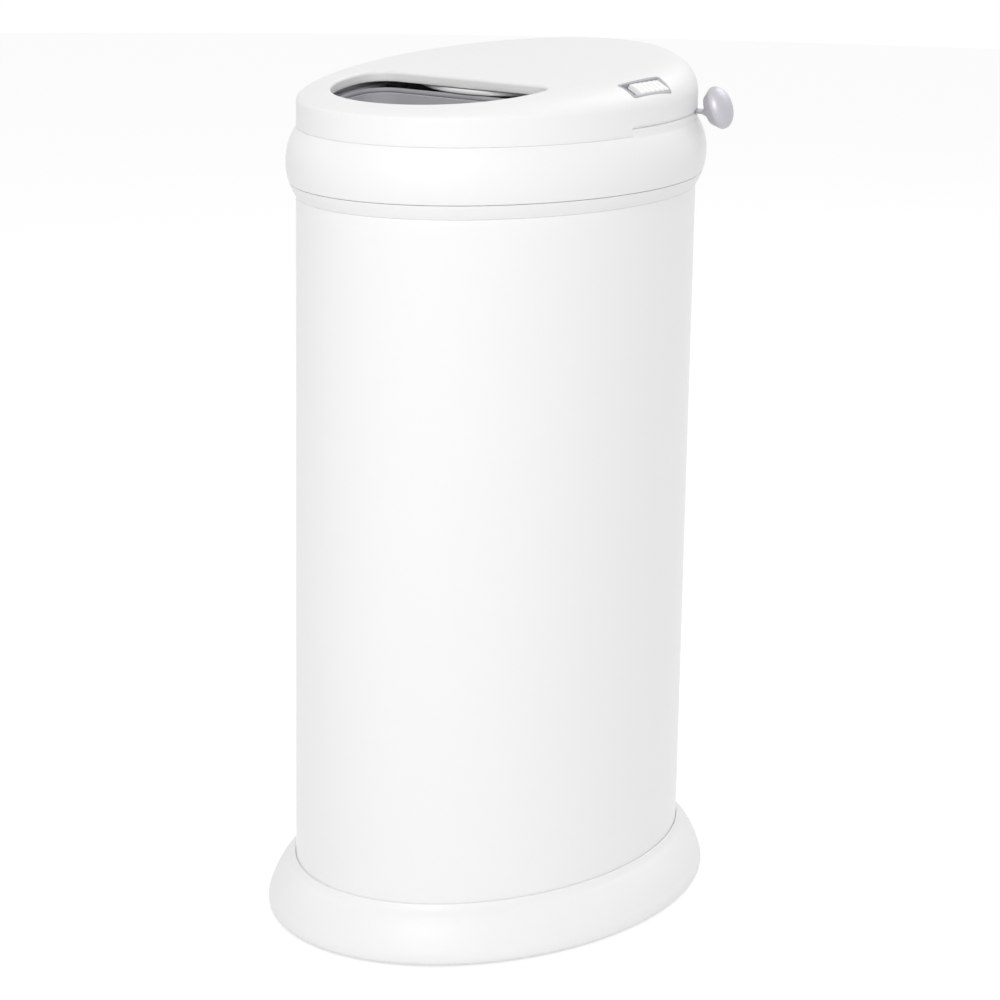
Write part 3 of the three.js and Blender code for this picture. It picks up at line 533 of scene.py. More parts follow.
def bulge_out(height, bulge):
    """How far the ring stands out at a height: a circle's arc from the top of the steel to the crease."""
    half = (CREASE - STEEL_TOP) / 2
    radius = (half ** 2 + bulge ** 2) / (2 * bulge)
    away = np.minimum(np.abs(height - STEEL_TOP - half), half)
    return np.sqrt(radius ** 2 - away ** 2) - (radius - bulge)


def bulge_run(start, end, count, bulge, inset=0.0):
    """Profile points up or down the bulge's arc, set in by a wall."""
    height = np.linspace(start, end, count)
    return list(zip(bulge_out(height, bulge) - inset, height))


def mouth_outline(share, margin=0.0, rear=MOUTH_REAR, corner=MOUTH_CORNER, shift=0.0):
    """Mouth outline let out by a margin, in the plane of the top, at shares from 0 to 1 of its length:
    a rounded corner at the right rear, a straight rear, the left corner, a straight side,
    half an ellipse round the front, and the right side."""
    half = MOUTH_HALF_WIDTH + margin
    radius = corner + margin
    back = rear + margin + shift
    side = MOUTH_SIDE + shift
    front = MOUTH_SIDE - MOUTH_FRONT + margin
    bend_length = QUARTER_TURN * (corner + MOUTH_CORNER_SPREAD)
    side_length = rear - corner - MOUTH_SIDE
    lengths = np.array([
        bend_length, 2 * (MOUTH_HALF_WIDTH - corner), bend_length, side_length,
        HALF_TURN * (MOUTH_HALF_WIDTH + MOUTH_SIDE - MOUTH_FRONT) / 2, side_length])
    knots = np.concatenate([[0], np.cumsum(lengths)]) / lengths.sum()
    part = np.clip(np.searchsorted(knots, share, side="right") - 1, 0, len(lengths) - 1)
    along = (share - knots[part]) / (knots[part + 1] - knots[part])
    quarter = along * QUARTER_TURN
    x = np.choose(part, [
        half - radius + radius * np.cos(quarter),
        (half - radius) * (1 - 2 * along),
        -half + radius - radius * np.sin(quarter),
        -half + 0 * along,
        -half * np.cos(along * HALF_TURN),
        half + 0 * along])
    y = np.choose(part, [
        back - radius + radius * np.sin(quarter),
        back + 0 * along,
        back - radius + radius * np.cos(quarter),
        back - radius + (side - back + radius) * along,
        side - front * np.sin(along * HALF_TURN),
        side + (back - radius - side) * along])
    return x, y


def shares_towards(out, turns):
    """Shares of the mouth outline that lie, seen from its middle, towards points of the oval."""
    def direction(x, y):
        return np.arctan2(y - MOUTH_MIDDLE[1], x - MOUTH_MIDDLE[0])

    share = np.linspace(0, 1, MOUTH_LOOKUPS, endpoint=False)
    seen = np.unwrap(direction(*mouth_outline(share)))
    wanted = seen[0] + np.mod(direction(*oval(out, turns)) - seen[0], FULL_TURN)
    return np.interp(wanted, np.append(seen, seen[0] + FULL_TURN), np.append(share, 1.0)) % 1.0


class TopPlane:
    """The plane of the sloping top: x across, y up the slope and z out of it."""

    def __init__(self, slope):
        self.slope = slope
        self.sin = math.sin(math.atan(slope))
        self.cos = math.cos(math.atan(slope))

    def points(self, x, y, z):
        """Points of the row frame from points of the plane."""
        x, y, z = np.broadcast_arrays(x, y, z)
        return np.stack([x, y * self.cos - z * self.sin, TOP_HEIGHT + y * self.sin + z * self.cos], axis=-1)

    def mouth(self, share, margin, level):
        """Points of the mouth's outline, let out by a margin, at a level over the plane."""
        return self.points(*mouth_outline(share, margin), level)

    def below_mouth(self, share, margin, height):
        """Points square to the plane from the mouth's outline, let out by a margin, at a height over the
        floor."""
        x, y = mouth_outline(share, margin)
        return np.stack(np.broadcast_arrays(x, y / self.cos + (TOP_HEIGHT - height) * self.slope, height),
                        axis=-1)


def shoulder_offset(x, y, inset, width):
    """Distance out, below zero, of the oval through each point, found by halving between the flat's edge
    and the wall."""
    low = np.full(np.shape(x), -width)
    high = np.full(np.shape(x), -inset)
    for _ in range(SHOULDER_HALVINGS):
        middle = (low + high) / 2
        outside = (x / (HALF_WIDTH + middle)) ** 2 + (y / (HALF_DEPTH + middle)) ** 2 > 1
        low = np.where(outside, middle, low)
        high = np.where(outside, high, middle)
    return (low + high) / 2


def shoulder_angle(x, y, inset, width):
    """Angle on the shoulder's quarter ellipse above each point: zero at the wall, a quarter turn on the
    flat."""
    out = shoulder_offset(x, y, inset, width) + inset
    return np.arccos(np.clip(1 + out / (width - inset), 0, 1))


def surface_height(y, angle, inset, sizes):
    """Height of the lid's surface, set in by a wall, at an angle on its shoulder."""
    return WALL_TOP + (TOP_RISE - inset + sizes.top_slope * y) * np.sin(angle)


def roof_height(x, y, inset, sizes):
    """Height of the lid's surface, or of one set in by a wall: the sloping plane over the flat, and a
    quarter ellipse from there down to the wall's top."""
    return surface_height(y, shoulder_angle(x, y, inset, sizes.shoulder), inset, sizes)


def roof_rows(start_x, start_y, turns, inset, count, sizes):
    """Rows over the lid's surface, set in by a wall, on straight lines seen from above from a start inside
    to the wall. Rows are close on the shoulder, where they are even in its angle."""
    flat_closeness = 0.25
    tiny = 1e-9
    end_x, end_y = oval(-inset, turns)
    run_x, run_y = end_x - start_x, end_y - start_y
    width = sizes.shoulder

    def reach(angle):
        """Share of each line at which it meets the oval of that shoulder angle."""
        out = -inset - (width - inset) * (1 - np.cos(angle))
        half_x, half_y = HALF_WIDTH + out, HALF_DEPTH + out
        square = (run_x / half_x) ** 2 + (run_y / half_y) ** 2
        mixed = start_x * run_x / half_x ** 2 + start_y * run_y / half_y ** 2
        rest = (start_x / half_x) ** 2 + (start_y / half_y) ** 2 - 1
        return (-mixed + np.sqrt(np.maximum(mixed ** 2 - square * rest, 0))) / square

    first_angle = shoulder_angle(start_x, start_y, inset, width)
    flat_share = np.maximum(reach(np.full(np.shape(start_x), QUARTER_TURN)), 0)
    flat_share = np.where(first_angle < QUARTER_TURN - 1e-6, 0, flat_share)
    flat_length = flat_closeness * flat_share * np.hypot(run_x, run_y)
    bend_length = first_angle * (width + TOP_RISE) / 2
    rows = []
    for part in np.arange(count + 1) / count:
        length = part * (flat_length + bend_length)
        on_flat = length < flat_length
        angle = np.where(on_flat, QUARTER_TURN, first_angle * (1 - (length - flat_length) / bend_length))
        share = np.where(on_flat, flat_share * length / np.maximum(flat_length, tiny), reach(angle))
        share = np.where(part == 0, 0, share)
        x, y = start_x + run_x * share, start_y + run_y * share
        rows.append(np.stack([x, y, surface_height(y, angle, inset, sizes)], axis=-1))
    return np.array(rows)


def slot_front(sizes):
    """Front end of the stem's slot: the door's travel before its rear end, along the slope."""
    return stem_low[1] - DOOR_TRAVEL * math.cos(math.atan(sizes.top_slope)) - SLOT_CLEARANCE


def slot_turns(sizes, margin):
    """Turns round the oval at the rounded ends of the slot, which the lid's columns take in."""
    bend = np.concatenate([[-EPSILON, 0], SLOT_CORNER * (1 - np.cos(np.linspace(0, QUARTER_TURN, 7)[1:]))])
    places = np.concatenate([slot_front(sizes) + margin + bend, SLOT_REAR - margin - bend])
    return np.arcsin(places / HALF_DEPTH)


def lid_turns(sizes, margin=0.0):
    """Turns of the lid's columns: even ones, and the ends of the slot."""
    closest = 0.1 * MM
    special = slot_turns(sizes, margin)
    even = even_turns(LID_COLUMNS)
    away = np.abs(even[:, None] - special[None]).min(axis=1)
    return np.sort(np.concatenate([even[away > closest / HALF_DEPTH], special]))


def slot_lift(turns, sizes, height, corner, margin=0.0):
    """Height of the slot's edge over the crease, along the turns: flat, with rounded ends, on the right
    side."""
    y = HALF_DEPTH * np.sin(turns)
    inside = np.minimum(y - slot_front(sizes) - margin, SLOT_REAR - margin - y)
    bend = np.sqrt(np.maximum(corner ** 2 - np.maximum(corner - inside, 0) ** 2, 0)) - corner
    return np.where((inside >= -1e-9) & (np.cos(turns) > 0), height + np.where(inside < corner, bend, 0), 0)


# Finishes

def add_node(tree, kind, inputs=None, **settings):
    """Node of a kind in a tree. An input given as another node's socket is linked, and others are set."""
    node = tree.nodes.new(f"ShaderNode{kind}")
    for name, value in settings.items():
        setattr(node, name, value)
    for name, value in (inputs or {}).items():
        if isinstance(value, bpy.types.NodeSocket):
            tree.links.new(value, node.inputs[name])
        else:
            node.inputs[name].default_value = value
    return node


def shaded(colour, factor):
    """Colour times a factor, as the four values of a colour socket."""
    return (*[min(value * factor, 1) for value in colour], 1)


def finish(name, colour, roughness, metallic=0.0, coat=0.0, grain=1200.0, depth=0.01, mottle=0.02,
           streak=(1.0, 1.0, 1.0), wear=0.0):
    """Procedural material on Object coordinates. A fine noise, stretched along streaks, gives a bump as
    deep as depth in millimetres. The mean of it and a broad noise varies the gloss and the colour, and
    with wear, concave creases are a little darker: painted shade."""
    gloss_spread = 0.06
    material = bpy.data.materials.new(name)
    material.use_nodes = True
    material.diffuse_color = (*colour, 1)
    tree = material.node_tree
    shader = tree.nodes["Principled BSDF"]
    shader.inputs["Metallic"].default_value = metallic
    shader.inputs["Coat Weight"].default_value = coat
    shader.inputs["Coat Roughness"].default_value = 0.12

    place = add_node(tree, "TexCoord").outputs["Object"]
    stretched = add_node(tree, "Mapping", {"Vector": place, "Scale": streak}).outputs["Vector"]
    fine = add_node(tree, "TexNoise", {"Vector": stretched, "Scale": grain, "Detail": 3.0}).outputs["Fac"]
    broad = add_node(tree, "TexNoise", {"Vector": place, "Scale": 14.0, "Detail": 4.0}).outputs["Fac"]
    both = add_node(tree, "Math", {0: fine, 1: broad}, operation="ADD").outputs["Value"]
    mean = add_node(tree, "Math", {0: both, 1: 0.5}, operation="MULTIPLY").outputs["Value"]
    bump = add_node(tree, "Bump", {"Strength": 1.0, "Distance": depth * MM, "Height": fine})
    gloss = add_node(tree, "MapRange", {
        "Value": mean, "To Min": max(roughness - gloss_spread, 0.02),
        "To Max": min(roughness + gloss_spread, 1.0)})
    tint = add_node(tree, "Mix", {
        "Factor": mean, "A": shaded(colour, 1 - mottle), "B": shaded(colour, 1 + mottle / 2)},
        data_type="RGBA")
    # Painted shade: concave creases, found by pointiness, are darkened towards 0.6 of the colour.
    if wear:
        shape = add_node(tree, "NewGeometry").outputs["Pointiness"]
        crease = add_node(tree, "MapRange", {
            "Value": shape, "From Min": 0.42, "From Max": 0.5, "To Min": wear, "To Max": 0.0})
        tint = add_node(tree, "Mix", {
            "Factor": crease.outputs["Result"], "A": tint.outputs["Result"], "B": shaded(colour, 0.6)},
            data_type="RGBA")
    tree.links.new(bump.outputs["Normal"], shader.inputs["Normal"])
    tree.links.new(gloss.outputs["Result"], shader.inputs["Roughness"])
    tree.links.new(tint.outputs["Result"], shader.inputs["Base Color"])
    return material


def coloured(context, name, colour, roughness, **traits):
    """Material of that name in one of the finishes' colours, made the first time it is asked for."""
    chosen = tuple(getattr(context.scene.nappy_bin_finishes, colour))
    return bpy.data.materials.get(name) or finish(name, chosen, roughness, **traits)


def powder_coat(context):
    return coloured(context, "powder_coat", "powder_coat", 0.36, coat=0.15, grain=650.0, depth=0.02,
                    mottle=0.012)


def moulded_white(context):
    # The creases of the white mouldings get a little painted shade.
    return coloured(context, "moulded_white", "moulding", 0.42, grain=2600.0, depth=0.008, mottle=0.012,
                    wear=0.12)


def soft_white(context):
    return coloured(context, "soft_white", "moulding", 0.62, grain=2200.0, depth=0.012)


def inner_grey(context):
    # The creases of the inner mouldings get a little painted shade.
    return coloured(context, "inner_grey", "inner_moulding", 0.5, grain=1900.0, depth=0.014, wear=0.1)


def satin_silver(context):
    return coloured(context, "satin_silver", "silver", 0.46, metallic=0.5, grain=5200.0, depth=0.004,
                    mottle=0.05)


def zinc_plate(context):
    return coloured(context, "zinc_plate", "zinc", 0.3, metallic=0.9, grain=900.0, depth=0.004,
                    mottle=0.08, streak=(1.0, 0.15, 1.0))


def grey_rubber(context):
    return coloured(context, "grey_rubber", "rubber", 0.72, grain=1500.0, depth=0.03, mottle=0.1)


def seal_rubber(context):
    return coloured(context, "seal_rubber", "seal", 0.6, grain=1700.0, depth=0.02, mottle=0.05)


def galvanised(context):
    """Zinc coat of a sheet: duller than plate, with spangles of a centimetre that differ in tone."""
    colour = shaded(context.scene.nappy_bin_finishes.zinc, 1.2)[:3]
    material = bpy.data.materials.get("galvanised")
    if material:
        return material
    material = finish("galvanised", colour, 0.5, metallic=0.35, grain=700.0, mottle=0.06)
    tree = material.node_tree
    base = tree.nodes["Principled BSDF"].inputs["Base Color"]
    place = add_node(tree, "TexCoord").outputs["Object"]
    spangle = add_node(tree, "TexVoronoi", {"Vector": place, "Scale": 90.0}).outputs["Color"]
    grey = add_node(tree, "RGBToBW", {"Color": spangle}).outputs["Val"]
    tone = add_node(tree, "Mix", {"Factor": 0.25, "A": base.links[0].from_socket, "B": grey},
                    data_type="RGBA", blend_type="SOFT_LIGHT")
    tree.links.new(tone.outputs["Result"], base)
    return material


MAKER_OF_SLOT = {
    "white_steel": powder_coat,
    "white_plastic": moulded_white,
    "inner_plastic": inner_grey,
    "silver": satin_silver,
    "bright_steel": zinc_plate,
    "rubber": grey_rubber,
}


# Pieces of the body

def oval_moulding(name, corners, make=ring_piece):
    """Piece of a rounded section that runs round the body's oval."""
    return make(name, oval_rows(rounded(corners), even_turns()))


def split_long(profile, longest):
    """Closed profile with points added evenly where neighbours lie further apart than the longest step."""
    onward = np.roll(profile, -1, axis=0)
    runs = []
    for start, end in zip(profile, onward):
        pieces = max(int(np.ceil(np.linalg.norm(end - start) / longest)), 1)
        runs.append(start + (end - start) * np.arange(pieces)[:, None] / pieces)
    return np.concatenate(runs)


class NAPPYBIN_OT_steel_body(Operator):
    """Builds the coated steel tube."""

    bl_idname = "nappy_bin.steel_body"
    bl_label = "Steel body"

    def execute(self, context):
        low, high, wall = body_low[2], STEEL_TOP, -STEEL_WALL
        profile = rounded([
            (0, low, STEEL_EDGE), (0, high, STEEL_EDGE), (wall, high, STEEL_EDGE), (wall, low, STEEL_EDGE)])
        piece = ring_piece("body_tube", oval_rows(split_long(profile, WALL_STEP), even_turns()))
        dress(piece, "bin", "white_steel", powder_coat(context), "steel_body")
        return {"FINISHED"}


def smooth_through(knots, values, at):
    """Cubic run through the values whose slope at each knot is that of the line between its neighbours."""
    slopes = np.gradient(values, knots)
    i = np.clip(np.searchsorted(knots, at, side="right") - 1, 0, len(knots) - 2)
    span = knots[i + 1] - knots[i]
    t = (at - knots[i]) / span
    return ((2 * t ** 3 - 3 * t ** 2 + 1) * values[i] + (t ** 3 - 2 * t ** 2 + t) * span * slopes[i]
            + (-2 * t ** 3 + 3 * t ** 2) * values[i + 1] + (t ** 3 - t ** 2) * span * slopes[i + 1])


def flare_run(count):
    """Profile up the flared skirt: a smooth curve through the shares of its flare and height."""
    shares = np.array(FLARE_SHARES)
    knots = np.concatenate([[0], np.cumsum(np.linalg.norm(np.diff(shares, axis=0), axis=1))])
    at = np.linspace(0, knots[-1], count)
    out = smooth_through(knots, shares[:, 0], at)
    up = smooth_through(knots, shares[:, 1], at)
    flare = base_high[0] - HALF_WIDTH
    return flare * np.minimum(out, 1), base_low[2] + (base_high[2] - base_low[2]) * up


class NAPPYBIN_OT_base(Operator):
    """Builds the flared base moulding."""

    bl_idname = "nappy_bin.base"
    bl_label = "Base"

    def execute(self, context):
        edge = context.scene.nappy_bin_sizes.edge
        out, height = flare_run(FLARE_ROWS)
        hollow_out = out[:HOLLOW_ROWS][::-1] - PLASTIC_WALL
        hollow_height = np.maximum(height[:HOLLOW_ROWS][::-1] - PLASTIC_WALL / 2, base_low[2])
        floor_top = body_low[2] - SEAT_GAP
        floor_bottom = floor_top - PLASTIC_WALL
        root = SEAT_GAP + PLASTIC_WALL / 2
        piece = oval_moulding("base_moulding", [
            (FLAT_END, floor_bottom), (root, floor_bottom, edge), (root, hollow_height[0], edge),
            *zip(hollow_out, hollow_height), *zip(out, height),
            (SEAT_GAP, base_high[2], edge / 2), (SEAT_GAP, floor_top, edge / 2), (FLAT_END, floor_top)],
            capped_piece)
        dress(piece, "bin", "white_plastic", moulded_white(context), "base_skirt")
        return {"FINISHED"}


class NAPPYBIN_OT_floor_pan(Operator):
    """Builds the steel floor."""

    bl_idname = "nappy_bin.floor_pan"
    bl_label = "Steel floor"

    def execute(self, context):
        out = floor_high[0] - HALF_WIDTH
        low, high = floor_low[2], floor_high[2]
        edge = (high - low) * PAN_EDGE_SHARE
        piece = oval_moulding("floor_plate", [
            (FLAT_END, low), (out, low, edge), (out, high, edge), (FLAT_END, high)], capped_piece)
        dress(piece, "bin", "bright_steel", galvanised(context), "floor_pan")
        return {"FINISHED"}


class NAPPYBIN_OT_collar(Operator):
    """Builds the collar at the top of the steel, with the ledge of the bag ring."""

    bl_idname = "nappy_bin.collar"
    bl_label = "Collar"

    def execute(self, context):
        sizes = context.scene.nappy_bin_sizes
        edge = sizes.edge
        inner, ledge_end = -COLLAR_REACH, -COLLAR_REACH - LEDGE_WIDTH
        ledge = PARTING - LEDGE_DROP
        ledge_low = ledge - PLASTIC_WALL
        plug = -STEEL_WALL - SEAT_GAP
        low = collar_low[2]
        flank = bulge_run(COLLAR_BOTTOM, PARTING, BULGE_INNER_ROWS, sizes.bulge)
        piece = oval_moulding("collar_moulding", [
            (*flank[0], sizes.seam_edge / 2), *flank[1:-1], (*flank[-1], sizes.seam_edge),
            (inner, PARTING, edge), (inner, ledge, edge / 2), (ledge_end, ledge, edge),
            (ledge_end, ledge_low, edge), (plug - PLUG_WALL, ledge_low, edge),
            (plug - PLUG_WALL, low, edge), (plug, low, edge), (plug, COLLAR_BOTTOM, edge / 2)])
        dress(piece, "bin", "white_plastic", moulded_white(context), "body_collar")
        return {"FINISHED"}


class NAPPYBIN_OT_bag_ring(Operator):
    """Builds the loose ring that holds the rim of the bag."""

    bl_idname = "nappy_bin.bag_ring"
    bl_label = "Bag ring"

    def execute(self, context):
        edge = context.scene.nappy_bin_sizes.edge
        outer = hoop_high[0] - HALF_WIDTH
        skirt = outer - LEDGE_WIDTH
        seat = PARTING - LEDGE_DROP + SEAT_GAP
        top, low = hoop_high[2], hoop_low[2]
        piece = oval_moulding("bag_hoop", [
            (outer, seat, edge), (outer, top, edge), (outer - PLASTIC_WALL, top, edge),
            (skirt - PLASTIC_WALL, seat + PLASTIC_WALL, 2 * edge), (skirt - PLASTIC_WALL, low, edge),
            (skirt, low, edge), (skirt, seat, edge)])
        dress(piece, "bin", "inner_plastic", inner_grey(context), "bag_ring")
        return {"FINISHED"}


# Pieces of the lid

class NAPPYBIN_OT_lid_ring(Operator):
    """Builds the bulged ring of the lid, with its spigot and the sill below the stem's slot."""

    bl_idname = "nappy_bin.lid_ring"
    bl_label = "Lid ring"

    def execute(self, context):
        sizes = context.scene.nappy_bin_sizes
        turns = lid_turns(sizes, SEAM_GAP)
        sill = slot_lift(turns, sizes, SLOT_BOTTOM - CREASE, EPSILON, SEAM_GAP)
        top = np.where(sill > 0, SLOT_BOTTOM, SPIGOT_TOP)
        edge = sizes.seam_edge
        bend = BEND_SHARE * edge
        spigot = -LID_WALL - SEAT_GAP
        inner = spigot - SPIGOT_WALL
        root = CREASE - SPIGOT_ROOT
        low_out = bulge_out(RING_BOTTOM, sizes.bulge)
        flank = rounded([
            (low_out - LID_WALL, RING_BOTTOM), (low_out, RING_BOTTOM, edge),
            *bulge_run(RING_BOTTOM + 2 * edge, CREASE - edge, BULGE_ROWS, sizes.bulge)])
        section = [
            *flank[1:], (0, CREASE - bend + sill), (-bend, CREASE + sill), (spigot, CREASE + sill),
            (spigot, top - edge / 2), (spigot - edge / 2, top), (inner + edge / 2, top),
            (inner, top - edge / 2), (inner, root),
            *bulge_run(root, RING_BOTTOM, BULGE_INNER_ROWS, sizes.bulge, LID_WALL)[1:]]
        piece = ring_piece("lid_band", [oval_points(out, turns, height) for out, height in section])
        dress(piece, "lid", "white_plastic", moulded_white(context), "lid_ring")
        return {"FINISHED"}


def lock_frame(sizes):
    """Matrix of the child lock: x down the shoulder, y towards the rear, z out of the surface."""
    arc = math.acos(1 - LOCK_INSET / sizes.shoulder)
    tilt = math.atan2(TOP_RISE * math.cos(arc), sizes.shoulder * math.sin(arc))
    x = HALF_WIDTH * math.sqrt(1 - (LOCK_Y / HALF_DEPTH) ** 2) - LOCK_INSET
    slope_share = min(TOP_RISE * math.sin(arc) / (TOP_RISE - LID_WALL), 1)
    z = WALL_TOP + TOP_RISE * math.sin(arc) + slope_share * sizes.top_slope * LOCK_Y
    return Matrix.Translation((x, LOCK_Y, z)) @ Matrix.Rotation(tilt, 4, "Y")


def moved(points, matrix):
    """Points of a frame, given by its matrix, as points of the row frame."""
    turn = np.array(matrix.to_3x3())
    return points @ turn.T + np.array(matrix.translation)


def rectangle(half_x, half_y, corner, inset=0.0, steps=6):
    """Rectangle with rounded corners, drawn in by an inset: four quarter circles joined by straight
    sides."""
    least_radius = 0.05 * MM
    radius = max(corner - inset, least_radius)
    quarter = np.linspace(0, QUARTER_TURN, steps + 1)
    x, y = half_x - inset - radius, half_y - inset - radius
    runs = []
    for i, (middle_x, middle_y) in enumerate([(x, y), (-x, y), (-x, -y), (x, -y)]):
        angle = quarter + i * QUARTER_TURN
        runs.append(np.column_stack([middle_x + radius * np.cos(angle), middle_y + radius * np.sin(angle)]))
    return np.concatenate(runs)


def at_level(flat, level):
    """Points (x, y) with a level, or a level each, added."""
    return np.column_stack([flat, np.broadcast_to(level, len(flat))])


def slab(name, outline, low, high, edge, matrix, steps=3):
    """Plate between two levels of a frame. outline(inset) gives its outline; its edges are quarter
    circles."""
    angle = np.linspace(0, QUARTER_TURN, steps + 1)
    insets = np.concatenate([edge * (1 - np.sin(angle)), edge * (1 - np.cos(angle))])
    levels = np.concatenate([low + edge * (1 - np.cos(angle)), high - edge * (1 - np.sin(angle))])
    rows = [at_level(outline(inset), level) for inset, level in zip(insets, levels)]
    return capped_piece(name, moved(np.array(rows), matrix))


def settle(piece):
    """Turns a piece's modifiers into its mesh."""
    graph = bpy.context.evaluated_depsgraph_get()
    made = bpy.data.meshes.new_from_object(
        piece.evaluated_get(graph), preserve_all_data_layers=True, depsgraph=graph)
    old = piece.data
    piece.modifiers.clear()
    piece.data = made
    made.name = piece.name
    bpy.data.meshes.remove(old)
    soften(piece)


def cut_away(piece, tool):
    """Takes the tool's body out of the piece for good, and removes the tool."""
    cutter = piece.modifiers.new("cut", "BOOLEAN")
    cutter.operation = "DIFFERENCE"
    cutter.solver = "EXACT"
    cutter.object = tool
    settle(piece)
    bpy.data.objects.remove(tool)


class NAPPYBIN_OT_lid_cover(Operator):
    """Builds the cover of the lid: wall, shoulder, sloping top and the lip round the mouth."""

    bl_idname = "nappy_bin.lid_cover"
    bl_label = "Lid cover"

    def execute(self, context):
        sizes = context.scene.nappy_bin_sizes
        plane = TopPlane(sizes.top_slope)
        turns = lid_turns(sizes)
        share = shares_towards(0, turns)
        edge = sizes.edge
        bend = BEND_SHARE * edge
        around = sizes.mouth_round

        def lip(margin, depth):
            """Row round the lip at a margin outside the mouth and a depth below the top."""
            return plane.mouth(share, margin, -depth)

        def brow(margin):
            """Row on the rounding between the top and the mouth's wall."""
            x, y = mouth_outline(share, margin)
            level = y * plane.cos
            fall = TOP_HEIGHT + sizes.top_slope * level - roof_height(x, level, 0, sizes)
            drop = around - math.sqrt(max(around ** 2 - (around - margin) ** 2, 0))
            return plane.points(x, y, -fall - drop)

        def roof(margin, inset, count):
            """Rows over the top, or under it by an inset, from the mouth's outline let out by a margin."""
            x, y = mouth_outline(share, margin)
            return roof_rows(x, y * plane.cos, turns, inset, count, sizes)

        low = COVER_BOTTOM + slot_lift(turns, sizes, SLOT_TOP - COVER_BOTTOM, SLOT_CORNER)
        seam = 0.6 * sizes.seam_edge
        low_bend = 0.4 * edge
        down = np.linspace(0, 1, WALL_ROWS + 1)[1:]
        wall = [
            *[(0, WALL_TOP + (low + seam - WALL_TOP) * part) for part in down],
            (-BEND_SHARE * seam, low + BEND_SHARE * seam), (-seam, low), (-LID_WALL + low_bend, low),
            (-LID_WALL, low + low_bend),
            *[(-LID_WALL, low + (WALL_TOP - low) * part) for part in WALL_INNER_SHARES]]
        angles = np.linspace(0, QUARTER_TURN, BROW_ROWS + 1)[:-1]
        piece = ring_piece("lid_top", [
            lip(LIP_WIDTH - edge, LIP_DEPTH), lip(edge, LIP_DEPTH), lip(bend, LIP_DEPTH - bend),
            lip(0, LIP_DEPTH - edge), lip(0, LIP_DEPTH * LIP_BREAK_SHARE),
            *[brow(around * (1 - math.cos(angle))) for angle in angles],
            *roof(around, 0, ROOF_ROWS),
            *[oval_points(out, turns, height) for out, height in wall],
            *roof(LIP_WIDTH, LID_WALL, ROOF_INNER_ROWS)[::-1],
            lip(LIP_WIDTH, LIP_DEPTH - edge), lip(LIP_WIDTH - bend, LIP_DEPTH - bend)])

        def room(inset):
            """Outline of the hole that the child lock sits in."""
            return rectangle(LOCK_HALF_WIDTH + SEAT_GAP, LOCK_HALF_LENGTH + SEAT_GAP,
                             LOCK_CORNER + SEAT_GAP, inset)

        cut_away(piece, slab("lock_room", room, -LOCK_CUT_REACH, LOCK_CUT_REACH, EPSILON, lock_frame(sizes)))
        dress(piece, "lid", "white_plastic", moulded_white(context), "lid_cover")
        return {"FINISHED"}


class NAPPYBIN_OT_inner_pan(Operator):
    """Builds the pan that closes the lid from below."""

    bl_idname = "nappy_bin.inner_pan"
    bl_label = "Inner pan"

    def execute(self, context):
        sizes = context.scene.nappy_bin_sizes
        plane = TopPlane(sizes.top_slope)
        turns = even_turns(LID_COLUMNS)
        out = pan_high[0] - HALF_WIDTH
        share = shares_towards(out, turns)
        low, high = pan_low[2], pan_high[2]
        edge = sizes.edge
        hole = [(edge, low), (0, low + edge), (0, high - edge), (edge, high)]
        rim = [(out - edge, high), (out, high - edge), (out, low + edge), (out - edge, low)]
        piece = ring_piece("pan_plate", [
            *[plane.below_mouth(share, margin, height) for margin, height in hole],
            *[oval_points(distance, turns, height) for distance, height in rim]])
        dress(piece, "lid", "inner_plastic", inner_grey(context), "inner_pan")
        return {"FINISHED"}


class NAPPYBIN_OT_throat_chute(Operator):
    """Builds the chute below the mouth, with the flange that rests on the pan."""

    bl_idname = "nappy_bin.throat_chute"
    bl_label = "Throat chute"

    def execute(self, context):
        sizes = context.scene.nappy_bin_sizes
        plane = TopPlane(sizes.top_slope)
        share = mouth_shares()
        edge = sizes.edge
        top = GASKET_BOTTOM - SEAT_GAP
        foot = chute_low[2]
        rest = foot + CHUTE_WALL
        flange = CHUTE_WALL + CHUTE_FLANGE
        inner = [(edge, top), (0, top - edge)]
        lower = [
            (0, foot + edge), (edge, foot), (flange - edge, foot), (flange, foot + edge),
            (flange, rest - edge), (flange - edge, rest), (CHUTE_WALL, rest)]
        outer = [(CHUTE_WALL, top - edge), (CHUTE_WALL - edge, top)]
        piece = ring_piece("chute_moulding", [
            *[plane.mouth(share, margin, level) for margin, level in inner],
            *[plane.below_mouth(share, margin, height) for margin, height in lower],
            *[plane.mouth(share, margin, level) for margin, level in outer]])
        dress(piece, "lid", "inner_plastic", inner_grey(context), "throat_chute")
        return {"FINISHED"}


